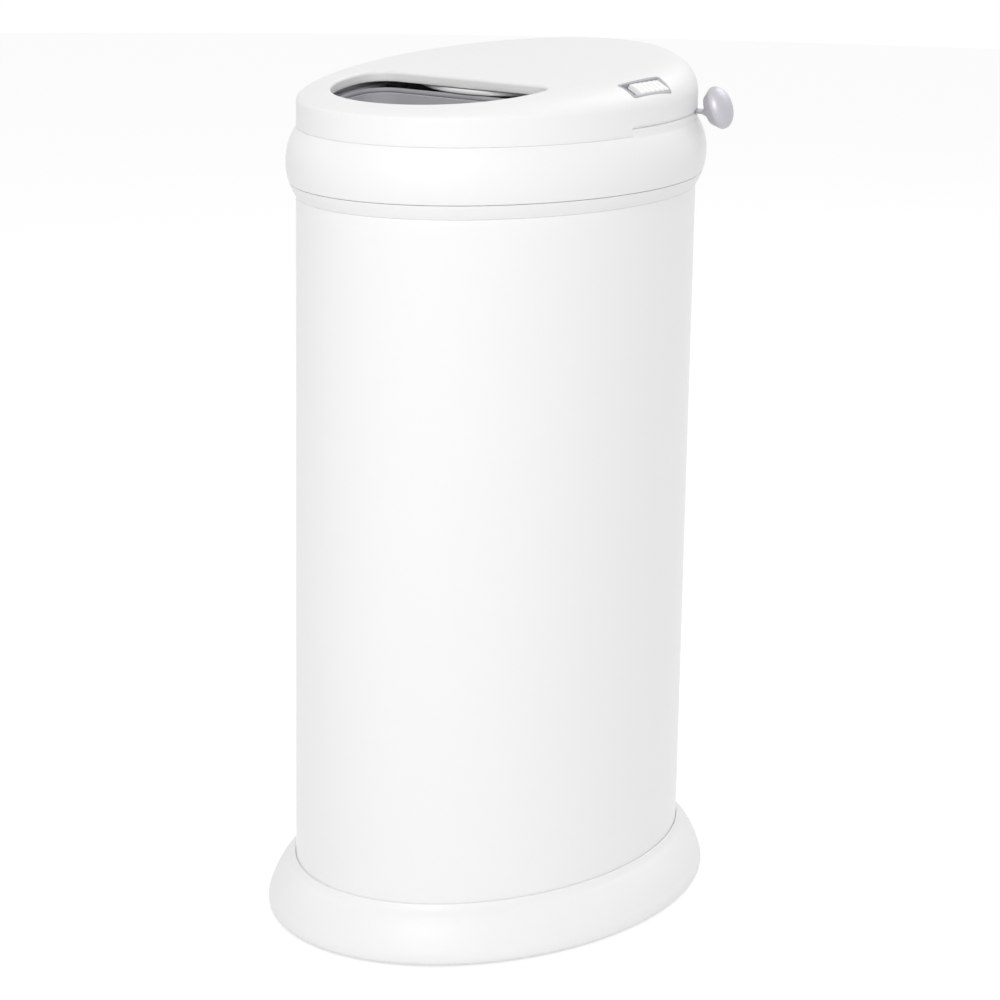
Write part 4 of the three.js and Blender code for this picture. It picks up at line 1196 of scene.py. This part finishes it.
class NAPPYBIN_OT_seals(Operator):
    """Builds the soft seals: one round the mouth and one in the lid's ring."""

    bl_idname = "nappy_bin.seals"
    bl_label = "Seals"

    def execute(self, context):
        plane = TopPlane(context.scene.nappy_bin_sizes.top_slope)
        rubber = seal_rubber(context)
        middle = (GASKET_TOP + GASKET_BOTTOM) / 2
        section = rounded([
            (0, GASKET_BOTTOM, GASKET_EDGE), (0, middle, GASKET_WAIST_EDGE),
            (GASKET_LEAN, GASKET_TOP, GASKET_TOP_EDGE),
            (CHUTE_WALL - GASKET_LEAN, GASKET_TOP, GASKET_TOP_EDGE),
            (CHUTE_WALL, middle, GASKET_WAIST_EDGE), (CHUTE_WALL, GASKET_BOTTOM, GASKET_EDGE)])
        rows = [plane.mouth(mouth_shares(), margin, level) for margin, level in section]
        dress(ring_piece("mouth_gasket", rows), "lid", "rubber", rubber, "mouth_seal")

        outer = lid_seal_high[0] - HALF_WIDTH
        inner = outer - LID_SEAL_WIDTH
        low, high = lid_seal_low[2], lid_seal_high[2]
        seal = oval_moulding("ring_seal", [
            (outer, low, LID_SEAL_LOW_EDGE), (outer, high, LID_SEAL_TOP_EDGE),
            (inner, high, LID_SEAL_TOP_EDGE), (inner, low, LID_SEAL_LOW_EDGE)])
        dress(seal, "lid", "rubber", rubber, "lid_seal")
        return {"FINISHED"}


class NAPPYBIN_OT_door(Operator):
    """Builds the sliding door."""

    bl_idname = "nappy_bin.door"
    bl_label = "Sliding door"

    def execute(self, context):
        slope = context.scene.nappy_bin_sizes.top_slope

        def outline(inset):
            return np.column_stack(mouth_outline(
                mouth_shares(), DOOR_OVERLAP - inset, DOOR_REAR - DOOR_OVERLAP,
                DOOR_CORNER - DOOR_OVERLAP, DOOR_TRAVEL))

        tilt = Matrix.Translation((0, 0, TOP_HEIGHT)) @ Matrix.Rotation(math.atan(slope), 4, "X")
        piece = slab("door_panel", outline, DOOR_BOTTOM, DOOR_TOP, DOOR_EDGE, tilt)
        dress(piece, "door", "white_plastic", moulded_white(context), "sliding_door")
        return {"FINISHED"}


# The knob and what turns about an axis

def round_points(radius, angle, level):
    """Points round the z axis at a radius and a level."""
    return np.stack(np.broadcast_arrays(radius * np.cos(angle), radius * np.sin(angle), level), axis=-1)


def turned(name, profile, matrix, columns=ROUND_COLUMNS):
    """Piece turned about the z axis of a frame from a profile of (radius, level)."""
    angle = np.linspace(0, FULL_TURN, columns, endpoint=False)
    return capped_piece(name, moved(round_points(profile[:, 0:1], angle, profile[:, 1:2]), matrix))


def knob_back():
    """Place along x of the knob's back, off the wall of the lid beside the stem."""
    return HALF_WIDTH * math.sqrt(1 - (STEM_Y / HALF_DEPTH) ** 2) + KNOB_STAND_OFF


def knob_frame():
    """Matrix of the knob's head: z along its axis, the origin in the plane of its back."""
    axis = Vector((math.cos(KNOB_LIFT) * math.cos(KNOB_TURN), math.cos(KNOB_LIFT) * math.sin(KNOB_TURN),
                   math.sin(KNOB_LIFT)))
    place = Vector((knob_back() + KNOB_GRIP, STEM_Y, STEM_HEIGHT + KNOB_RISE)) - axis * KNOB_GRIP
    return Matrix.Translation(place) @ Vector((0, 0, 1)).rotation_difference(axis).to_matrix().to_4x4()


class NAPPYBIN_OT_knob(Operator):
    """Builds the domed knob, its back plate and its flat stem with a flared neck."""

    bl_idname = "nappy_bin.knob"
    bl_label = "Knob"

    def execute(self, context):
        matrix = knob_frame()
        silver = satin_silver(context)
        rise = KNOB_DEPTH - KNOB_RIM
        hollow = KNOB_RADIUS - KNOB_WALL
        mouth = KNOB_BACK_RADIUS - KNOB_WALL
        angle = np.linspace(0, QUARTER_TURN, DOME_ROWS + 1)[:-1]
        outer = np.column_stack([KNOB_RADIUS * np.cos(angle), KNOB_RIM + rise * np.sin(angle)])
        inner = np.column_stack([hollow * np.cos(angle), KNOB_RIM + (rise - KNOB_WALL) * np.sin(angle)])
        back = rounded([
            (TIP_RADIUS, KNOB_RIM / 2), (mouth + KNOB_FLARE / 2, KNOB_RIM / 2),
            (mouth, KNOB_PLATE + SEAT_GAP), (mouth, 0, KNOB_MOUTH_EDGE),
            (KNOB_BACK_RADIUS, 0, KNOB_BACK_EDGE), (KNOB_RADIUS, KNOB_RIM - KNOB_LIP, KNOB_LIP_EDGE),
            (KNOB_RADIUS, KNOB_RIM)])[1:-1]
        profile = np.concatenate([
            [(TIP_RADIUS, KNOB_DEPTH - KNOB_WALL)], inner[::-1], back, outer,
            [(TIP_RADIUS, KNOB_DEPTH)]])
        cap = turned("knob_dome", profile, matrix, columns=2 * ROUND_COLUMNS)
        dress(cap, "knob", "silver", silver, "knob_cap")

        rim, top = mouth - SEAT_GAP, SEAT_GAP + KNOB_PLATE
        plate = rounded([
            (TIP_RADIUS, SEAT_GAP), (rim, SEAT_GAP, KNOB_PLATE_EDGE), (rim, top, KNOB_PLATE_EDGE),
            (TIP_RADIUS, top)])
        dress(turned("knob_disc", plate, matrix), "knob", "silver", silver, "knob_back_plate")
        dress(stem_body("stem_blade", matrix), "knob", "silver", silver, "knob_stem")
        return {"FINISHED"}


def nearest_shift(row, other):
    """How many points a closed row is to be shifted to lie closest to another."""
    gaps = [np.linalg.norm(row - np.roll(other, shift, axis=0), axis=1).sum() for shift in range(len(row))]
    return int(np.argmin(gaps))


def stem_body(name, matrix):
    """Flat bar with rounded edges, notched for its clip, that swells into a round neck at the knob. Each
    row is a superellipse across the bar; the last rows pass smoothly from it to a circle on the knob's
    back."""
    angle = np.linspace(0, FULL_TURN, ROUND_COLUMNS, endpoint=False)
    half_width, half_thick = (stem_high[1] - stem_low[1]) / 2, (stem_high[2] - stem_low[2]) / 2
    neck_end = knob_back()
    notch = STEM_NOTCH_HALF / half_width
    notch_start, notch_end = clip_low[0] - SEAT_GAP, clip_high[0] + SEAT_GAP

    def section(x, width_share):
        """Superellipse of a high power across the bar at x."""
        cos, sin = np.cos(angle), np.sin(angle)
        y = half_width * width_share * np.sign(cos) * np.abs(cos) ** STEM_POWER
        z = half_thick * np.sign(sin) * np.abs(sin) ** STEM_POWER
        return np.stack([np.full(len(angle), x), STEM_Y + y, STEM_HEIGHT + z], axis=-1)

    bar = [
        (stem_low[0], STEM_END_SHARE), (stem_low[0] + STEM_END_EDGE, 1.0), (notch_start, 1.0),
        (notch_start + EPSILON, notch), (notch_end, notch), (notch_end + EPSILON, 1.0),
        (neck_end - NECK_LENGTH, 1.0)]
    rows = [section(x, width) for x, width in bar]
    circle = np.column_stack([NECK_RADIUS * np.sin(angle), NECK_RADIUS * np.cos(angle), 0 * angle])
    seat = moved(circle * [-1, 1, 1], matrix)
    seat = np.roll(seat, nearest_shift(rows[-1], seat), axis=0)
    for share in np.linspace(0, 1, NECK_ROWS)[1:]:
        passed = (share ** 2 * (3 - 2 * share)) ** NECK_POWER
        bar_row = section(neck_end - NECK_LENGTH * (1 - share), 1.0)
        rows.append(bar_row * (1 - passed) + seat * passed)
    return capped_piece(name, rows)


class NAPPYBIN_OT_slot_lips(Operator):
    """Builds the two soft lips that close the stem's slot from above and below."""

    bl_idname = "nappy_bin.slot_lips"
    bl_label = "Slot lips"

    def execute(self, context):
        sizes = context.scene.nappy_bin_sizes
        white = soft_white(context)
        ends = np.array([slot_front(sizes) + SEAM_GAP, SLOT_REAR - SEAM_GAP])
        turns = np.linspace(*np.arcsin(ends / HALF_DEPTH), SOFT_LIP_ROWS)[:, None]
        for name, edge, side in (("slot_lip_lower", SLOT_BOTTOM, -1), ("slot_lip_upper", SLOT_TOP, 1)):
            root = edge - side * EPSILON
            tip = STEM_HEIGHT + side * SLIT
            section = rounded([
                (SOFT_LIP_ROOTS[0], root), (SOFT_LIP_TIPS[0], tip, SLIT_EDGE),
                (SOFT_LIP_TIPS[1], tip, SLIT_EDGE), (SOFT_LIP_ROOTS[1], root)])
            piece = capped_piece(name, oval_points(section[:, 0], turns, section[:, 1]))
            dress(piece, "lid", "white_plastic", white)
        return {"FINISHED"}


# Fastenings, feet and small parts

def screw_body(name, matrix, length):
    """Screw along z from the top of its head at zero: a domed head with a cross recess, and a threaded
    shank. The recess is where the smaller of |x| and |y| is below its half width; the thread is a cosine
    that climbs one pitch in each turn."""
    angle = np.linspace(0, FULL_TURN, SCREW_COLUMNS, endpoint=False)
    ring = np.linspace(*SCREW_HEAD_SHARES, SCREW_HEAD_ROWS)[:, None] * SCREW_HEAD_RADIUS
    x, y = ring * np.cos(angle), ring * np.sin(angle)
    off_cross = np.minimum(np.abs(x), np.abs(y))
    across = np.clip((RECESS_HALF_WIDTH - off_cross) / RECESS_SIDE_SLOPE + 0.5, 0, 1)
    along = np.clip((RECESS_REACH - ring) / RECESS_END_SLOPE, 0, 1)
    depth = SCREW_DOME * (ring / SCREW_HEAD_RADIUS) ** 2 + RECESS_DEPTH * across * along
    rows = list(np.stack([x, y, depth], axis=-1))
    side = [
        (SCREW_HEAD_RADIUS, SCREW_HEAD_SIDE), (SCREW_HEAD_RADIUS, SCREW_HEAD_HEIGHT - SCREW_HEAD_EDGE),
        (SCREW_HEAD_RADIUS - SCREW_HEAD_EDGE, SCREW_HEAD_HEIGHT), (SCREW_RADIUS, SCREW_HEAD_HEIGHT)]
    step = THREAD_PITCH / THREAD_ROWS
    for level in np.arange(SCREW_HEAD_HEIGHT + THREAD_START, length - THREAD_END, step):
        climb = np.cos(FULL_TURN * level / THREAD_PITCH - angle)
        side.append((SCREW_RADIUS - THREAD_DEPTH * (1 - climb) / 2, level))
    side.append((SCREW_TIP_SHARES[0] * SCREW_RADIUS, length - SCREW_TIP_LENGTH))
    side.append((SCREW_TIP_SHARES[1] * SCREW_RADIUS, length))
    rows.extend(round_points(radius, angle, level) for radius, level in side)
    return capped_piece(name, moved(np.array(rows), matrix))


class NAPPYBIN_OT_screws(Operator):
    """Builds the screws of the floor, the hinge, the pan and the fork."""

    bl_idname = "nappy_bin.screws"
    bl_label = "Screws"

    def execute(self, context):
        zinc = zinc_plate(context)
        upward = Matrix.Identity(4)
        forward = Matrix.Rotation(QUARTER_TURN, 4, "X")
        tilted = Matrix.Rotation(math.atan(context.scene.nappy_bin_sizes.top_slope) + HALF_TURN, 4, "X")
        sets = [("base_screw", 4, "bin", upward), ("pan_screw", 6, "lid", upward),
                ("bracket_screw", 2, "bin", forward), ("leaf_screw", 2, "lid", forward),
                ("fork_screw", 2, "door", tilted)]
        for family, count, body, turn in sets:
            axis = turn @ Vector((0, 0, 1))
            for number in range(1, count + 1):
                node = f"{family}_{number}"
                low, high = low_high(node)
                length = FORK_SCREW_LENGTH if turn is tilted else float(np.abs((high - low) @ np.array(axis)))
                head = Vector((low + high) / 2) - axis * (length / 2)
                piece = screw_body(f"{family}_body_{number}", Matrix.Translation(head) @ turn, length)
                dress(piece, body, "bright_steel", zinc, node)
        return {"FINISHED"}


class NAPPYBIN_OT_feet(Operator):
    """Builds the rubber feet, grooved below and plugged into the base."""

    bl_idname = "nappy_bin.feet"
    bl_label = "Feet"

    def execute(self, context):
        rubber = grey_rubber(context)
        shoulder = body_low[2] - 2 * SEAT_GAP - PLASTIC_WALL
        for number in range(1, 5):
            node = f"foot_{number}"
            low, high = low_high(node)
            radius = (high[0] - low[0]) / 2
            flat = radius - FOOT_CHAMFER
            ring = np.linspace(TIP_RADIUS, flat - FOOT_FLAT_MARGIN, FOOT_ROWS)
            inside = (ring > FOOT_GROOVE_START) & (ring < flat - FOOT_GROOVE_MARGIN)
            wave = np.maximum(np.sin(ring / FOOT_GROOVE_SPREAD), 0)
            groove = np.where(inside, FOOT_GROOVE_DEPTH * wave, 0)
            side = rounded([
                (ring[-1], low[2]), (flat, low[2], FOOT_EDGE), (radius, FOOT_CHAMFER, FOOT_SIDE_EDGE),
                (radius, shoulder, FOOT_SHOULDER_EDGE), (FOOT_PLUG_RADIUS, shoulder, FOOT_ROOT_EDGE),
                (FOOT_PLUG_RADIUS, high[2], FOOT_PLUG_EDGE), (TIP_RADIUS, high[2])])[1:]
            profile = np.concatenate([np.column_stack([ring, low[2] + groove]), side])
            middle = Matrix.Translation((*(low + high)[:2] / 2, 0))
            dress(turned(f"foot_pad_{number}", profile, middle), "bin", "rubber", rubber, node)
        return {"FINISHED"}


def eased_copy(name, node, radius, segments=3):
    """Piece from a merged copy of a CAD node's mesh, with its sharp edges rounded by a bevel."""
    merge_distance = 0.005 * MM
    flat_angle = math.radians(0.5)
    mesh = frame["nodes"][node].data.copy()
    shape = bmesh.new()
    shape.from_mesh(mesh)
    bmesh.ops.remove_doubles(shape, verts=shape.verts, dist=merge_distance)
    bmesh.ops.dissolve_limit(shape, angle_limit=flat_angle, verts=shape.verts, edges=shape.edges)
    shape.to_mesh(mesh)
    shape.free()
    piece = bpy.data.objects.new(name, mesh)
    bpy.context.scene.collection.objects.link(piece)
    bevel = piece.modifiers.new("edges", "BEVEL")
    bevel.width = radius
    bevel.segments = segments
    bevel.limit_method = "ANGLE"
    bevel.angle_limit = math.radians(35)
    settle(piece)
    return piece


class NAPPYBIN_OT_hinge(Operator):
    """Builds the hinge at the rear: its bracket, leaf and pin."""

    bl_idname = "nappy_bin.hinge"
    bl_label = "Hinge"

    def execute(self, context):
        white = moulded_white(context)
        for node, body in (("hinge_bracket", "bin"), ("hinge_leaf", "lid")):
            dress(eased_copy(f"{node}_body", node, HINGE_EDGE), body, "white_plastic", white, node)

        radius = (pin_high[2] - pin_low[2]) / 2
        half = pin_high[0]
        profile = rounded([
            (TIP_RADIUS, -half), (radius, -half, PIN_EDGE), (radius, half, PIN_EDGE), (TIP_RADIUS, half)])
        middle = Matrix.Translation((0, (pin_low[1] + pin_high[1]) / 2, (pin_low[2] + pin_high[2]) / 2))
        pin = turned("hinge_pin_body", profile, middle @ Matrix.Rotation(QUARTER_TURN, 4, "Y"))
        dress(pin, "bin", "bright_steel", zinc_plate(context), "hinge_pin")
        return {"FINISHED"}


class NAPPYBIN_OT_inner_parts(Operator):
    """Builds the catch, the rails and fork of the door, the pawl and the small fittings of the knob."""

    bl_idname = "nappy_bin.inner_parts"
    bl_label = "Inner parts"

    def execute(self, context):
        bodies = frame["record"]["behaviour"]["bodies"]
        body_of = {node: body for body, nodes in bodies.items() for node in nodes}
        slot_of = {row["node"]: row["material_slot"] for row in frame["record"]["subparts"]}
        for node, radius in INNER_PART_EDGES.items():
            slot = slot_of[node]
            piece = eased_copy(f"{node}_body", node, radius, segments=2)
            dress(piece, body_of[node], slot, MAKER_OF_SLOT[slot](context), node)
        return {"FINISHED"}


# Child lock

def skin_level(flat, matrix, sizes, proud):
    """Level of the lid's surface over points (x, y) of the lock's frame, raised by a little: steps along
    the frame's z shrink the height that is left to the surface."""
    step_share = 0.7 * np.array(matrix.to_3x3())[2, 2]
    level = np.zeros(len(flat))
    for _ in range(SKIN_STEPS):
        points = moved(at_level(flat, level), matrix)
        left = roof_height(points[:, 0], points[:, 1], 0, sizes) - points[:, 2]
        level = level + left * step_share
    return level + proud


class NAPPYBIN_OT_child_lock(Operator):
    """Builds the tray of the child lock and its ridged slider."""

    bl_idname = "nappy_bin.child_lock"
    bl_label = "Child lock"

    def execute(self, context):
        sizes = context.scene.nappy_bin_sizes
        matrix = lock_frame(sizes)

        def outline(inset):
            return rectangle(LOCK_HALF_WIDTH, LOCK_HALF_LENGTH, LOCK_CORNER, inset)

        def row(inset, level):
            """Row of the tray at a level of its frame."""
            return at_level(outline(inset), level)

        def rim(inset, below):
            """Row of the tray that follows the lid's surface, a little below its proud rim."""
            flat = outline(inset)
            return at_level(flat, skin_level(flat, matrix, sizes, LOCK_PROUD) - below)

        edge = LOCK_RIM_EDGE
        bend = BEND_SHARE * edge
        foot = LOCK_FLOOR_EDGE
        floor = -LOCK_DEPTH
        rows = [
            row(foot, floor - LOCK_WALL), row(0, floor - LOCK_WALL + foot), rim(0, edge),
            rim(bend, bend), rim(edge, 0), rim(LOCK_WALL - edge, 0), rim(LOCK_WALL - bend, bend),
            rim(LOCK_WALL, edge), row(LOCK_WALL, floor + foot), row(LOCK_WALL + foot, floor)]
        tray = capped_piece("lock_tray", moved(np.array(rows), matrix))
        # The tray is grey moulding, and its grey also darkens the recess: partly painted shade.
        dress(tray, "lid", "inner_plastic", inner_grey(context), "lock_bezel")
        button = slider_body("lock_button", floor + LOCK_SLIDE_GAP, matrix)
        dress(button, "lock_slide_plate", "white_plastic", moulded_white(context), "lock_slider")
        return {"FINISHED"}


def slider_body(name, low, matrix):
    """Slider with rounded ridges across its top: the top's level is a row of cosine bumps along y, and
    falls in a quarter circle to all four sides."""
    half_x = LOCK_HALF_WIDTH - LOCK_WALL - LOCK_SLIDE_GAP
    rear = LOCK_HALF_LENGTH - LOCK_WALL - LOCK_SLIDE_GAP
    front = rear - LOCK_SLIDER_LENGTH
    shoulder = low + LOCK_SLIDER_HEIGHT - LOCK_SLIDER_EDGE
    x = np.linspace(-1, 1, LOCK_SLIDER_COLUMNS)
    y = np.linspace(front, rear, LOCK_SLIDER_ROWS)
    ridge_at = front + (rear - front) * (np.arange(LOCK_RIDGES) + 1) / (LOCK_RIDGES + 1)
    away = np.abs(y[:, None] - ridge_at[None]).min(axis=1) / LOCK_RIDGE_HALF
    bump = LOCK_RIDGE_HEIGHT * np.where(away < 1, (1 + np.cos(away * HALF_TURN)) / 2, 0)[:, None]

    def fall(distance, reach):
        """Share of the top's height at a distance from a side: a quarter circle up to the reach."""
        return np.sqrt(1 - (1 - np.clip(distance / reach, 0, 1)) ** 2)

    fade = fall((1 - np.abs(x)) * half_x, LOCK_SLIDER_SIDE)[None]
    round_end = fall(np.minimum(y - front, rear - y), LOCK_SLIDER_EDGE)[:, None]
    top = shoulder + LOCK_SLIDER_EDGE * np.minimum(round_end, fade) + bump * fade
    upper = np.stack([*np.meshgrid(x * half_x, y), top], axis=-1)
    count_y, count_x = top.shape
    index = np.arange(count_x * count_y).reshape(count_y, count_x)
    quads = np.stack([index[:-1, :-1], index[:-1, 1:], index[1:, 1:], index[1:, :-1]], axis=-1).reshape(-1, 4)
    border = np.concatenate([index[0, :-1], index[:-1, -1], index[-1, :0:-1], index[:0:-1, 0]])
    upper = upper.reshape(-1, 3)
    foot = at_level(upper[border, :2], low)
    below = count_x * count_y + np.arange(len(border))
    sides = np.stack([border, below, np.roll(below, -1), np.roll(border, -1)], axis=-1)
    points = moved(np.concatenate([upper, foot]), matrix)
    return write_mesh(name, points, np.concatenate([quads, sides]), [below[::-1]])


class NAPPYBIN_OT_carried_nodes(Operator):
    """Gives the CAD nodes that still show the finish of their material slot."""

    bl_idname = "nappy_bin.carried_nodes"
    bl_label = "Carried-over pieces"

    def execute(self, context):
        for row in frame["record"]["subparts"]:
            node = frame["nodes"][row["node"]]
            if node.hide_render:
                continue
            material = MAKER_OF_SLOT[row["material_slot"]](context)
            node.data.materials.clear()
            node.data.materials.append(material)
        return {"FINISHED"}


# Stage

FLOOR_RADIUS = 6.0
FLOOR_SHADE = (0.32, 0.32, 0.32, 1)
FLOOR_GLOW = 0.77
WHITE = (1, 1, 1, 1)

# Name, place, length of a side, and power in watts
LAMPS = [
    ("key_lamp", (1.2, -2.15, 1.9), 1.6, 33),
    ("left_lamp", (-2.2, -0.6, 1.3), 1.4, 3),
    ("rear_lamp", (0.2, 2.3, 2.2), 1.6, 15),
]


def seen_directly(tree):
    """Socket that is 1 where the camera sees a surface itself, in gloss or through glass."""
    path = add_node(tree, "LightPath")
    seen = path.outputs["Is Camera Ray"]
    for kind in ("Is Glossy Ray", "Is Transmission Ray"):
        either = add_node(tree, "Math", {0: seen, 1: path.outputs[kind]}, operation="MAXIMUM")
        seen = either.outputs["Value"]
    return seen


def chosen_shader(tree, factor, first, second):
    """Shader that is the first where the factor is 0 and the second where it is 1."""
    return add_node(tree, "MixShader", {"Fac": factor, 1: first, 2: second}).outputs["Shader"]


def floor_material(colour):
    """Pale floor that shows white to the camera, keeps soft shadows, and isn't seen from below."""
    material = bpy.data.materials.new("studio_floor")
    material.use_nodes = True
    tree = material.node_tree
    tree.nodes.clear()
    plain = add_node(tree, "BsdfDiffuse", {"Color": (*colour, 1)}).outputs["BSDF"]
    dim = add_node(tree, "BsdfDiffuse", {"Color": FLOOR_SHADE}).outputs["BSDF"]
    glow = add_node(tree, "Emission", {"Strength": FLOOR_GLOW}).outputs["Emission"]
    seen = add_node(tree, "AddShader", {0: dim, 1: glow}).outputs["Shader"]
    top = chosen_shader(tree, seen_directly(tree), plain, seen)
    below = add_node(tree, "NewGeometry").outputs["Backfacing"]
    clear = add_node(tree, "BsdfTransparent").outputs["BSDF"]
    add_node(tree, "OutputMaterial", {"Surface": chosen_shader(tree, below, top, clear)})
    return material


def light_world(world, strength):
    """World with a plain light for the object, and white for what the camera, gloss and glass see."""
    world.use_nodes = True
    tree = world.node_tree
    tree.nodes.clear()
    sky = add_node(tree, "Background", {"Color": WHITE, "Strength": strength}).outputs["Background"]
    white = add_node(tree, "Background", {"Color": WHITE, "Strength": 1.0}).outputs["Background"]
    add_node(tree, "OutputWorld", {"Surface": chosen_shader(tree, seen_directly(tree), sky, white)})


def add_lamp(name, place, target, size, power):
    """Square soft lamp at a place, turned to a target."""
    data = bpy.data.lights.new(name, "AREA")
    data.shape = "SQUARE"
    data.size = size
    data.energy = power
    lamp = bpy.data.objects.new(name, data)
    lamp.location = place
    lamp.rotation_euler = (Vector(target) - Vector(place)).to_track_quat("-Z", "Y").to_euler()
    bpy.context.scene.collection.objects.link(lamp)


def add_camera(studio):
    """Camera on a circle round the middle line, looking a little down and to the side, and leaning."""
    data = bpy.data.cameras.new("studio_camera")
    data.sensor_width = 36.0
    data.lens = studio.focal
    camera = bpy.data.objects.new("studio_camera", data)
    look = studio.azimuth + studio.yaw
    level = math.cos(studio.pitch)
    forward = Vector((-math.sin(look) * level, math.cos(look) * level, -math.sin(studio.pitch)))
    right = forward.cross(Vector((0, 0, 1))).normalized()
    up = right.cross(forward)
    leaning_right = math.cos(studio.roll) * right + math.sin(studio.roll) * up
    leaning_up = math.cos(studio.roll) * up - math.sin(studio.roll) * right
    turn = Matrix((leaning_right, leaning_up, -forward)).transposed()
    camera.location = (
        studio.distance * math.sin(studio.azimuth), -studio.distance * math.cos(studio.azimuth),
        studio.height)
    camera.rotation_euler = turn.to_euler()
    bpy.context.scene.collection.objects.link(camera)
    bpy.context.scene.camera = camera


class NAPPYBIN_OT_stage(Operator):
    """Builds the floor, the lamps, the world and the camera."""

    bl_idname = "nappy_bin.stage"
    bl_label = "Studio"

    def execute(self, context):
        studio = context.scene.nappy_bin_studio
        angle = np.linspace(0, FULL_TURN, studio.floor_columns, endpoint=False)
        rim = round_points(FLOOR_RADIUS, angle, 0)
        mesh = bpy.data.meshes.new("studio_floor")
        mesh.from_pydata(rim.tolist(), [], [list(range(len(rim)))])
        mesh.materials.append(floor_material(tuple(studio.floor)))
        floor = bpy.data.objects.new("studio_floor", mesh)
        context.scene.collection.objects.link(floor)
        world = context.scene.world or bpy.data.worlds.new("studio_world")
        context.scene.world = world
        light_world(world, studio.sky_strength)
        middle = (0, 0, (CAD_BOX[0][2] + CAD_BOX[1][2]) / 2)
        for name, place, size, power in LAMPS:
            add_lamp(name, place, middle, size, power * studio.lamp_strength)
        add_camera(studio)
        context.scene.view_settings.view_transform = "Standard"
        return {"FINISHED"}


PIECE_OPERATORS = [
    NAPPYBIN_OT_steel_body, NAPPYBIN_OT_base, NAPPYBIN_OT_floor_pan, NAPPYBIN_OT_collar, NAPPYBIN_OT_bag_ring,
    NAPPYBIN_OT_lid_ring, NAPPYBIN_OT_lid_cover, NAPPYBIN_OT_inner_pan, NAPPYBIN_OT_throat_chute,
    NAPPYBIN_OT_seals, NAPPYBIN_OT_door, NAPPYBIN_OT_knob, NAPPYBIN_OT_slot_lips, NAPPYBIN_OT_child_lock,
    NAPPYBIN_OT_hinge, NAPPYBIN_OT_feet, NAPPYBIN_OT_screws, NAPPYBIN_OT_inner_parts,
    NAPPYBIN_OT_carried_nodes, NAPPYBIN_OT_stage,
]


class NAPPYBIN_PT_panel(Panel):
    """Lists the pieces, sizes and finishes of the bin."""

    bl_idname = "NAPPYBIN_PT_panel"
    bl_label = "Nappy bin"
    bl_space_type = "VIEW_3D"
    bl_region_type = "UI"
    bl_category = "Nappy bin"

    def draw(self, context):
        layout = self.layout
        for group in (context.scene.nappy_bin_sizes, context.scene.nappy_bin_finishes,
                      context.scene.nappy_bin_studio):
            box = layout.box()
            for name in group.__annotations__:
                box.prop(group, name)
        for operator in PIECE_OPERATORS:
            layout.operator(operator.bl_idname)


GROUPS = [
    ("nappy_bin_sizes", NappyBinSizes),
    ("nappy_bin_finishes", NappyBinFinishes),
    ("nappy_bin_studio", NappyBinStudio),
]
CLASSES = [*[group for _, group in GROUPS], *PIECE_OPERATORS, NAPPYBIN_PT_panel]


def register():
    for item in CLASSES:
        bpy.utils.register_class(item)
    for name, group in GROUPS:
        setattr(bpy.types.Scene, name, PointerProperty(type=group))


def unregister():
    for name, _ in GROUPS:
        delattr(bpy.types.Scene, name)
    for item in reversed(CLASSES):
        bpy.utils.unregister_class(item)


def main():
    """Builds every piece in order."""
    register()
    for operator in PIECE_OPERATORS:
        family, name = operator.bl_idname.split(".")
        getattr(getattr(bpy.ops, family), name)()


if __name__ == "__main__":
    main()
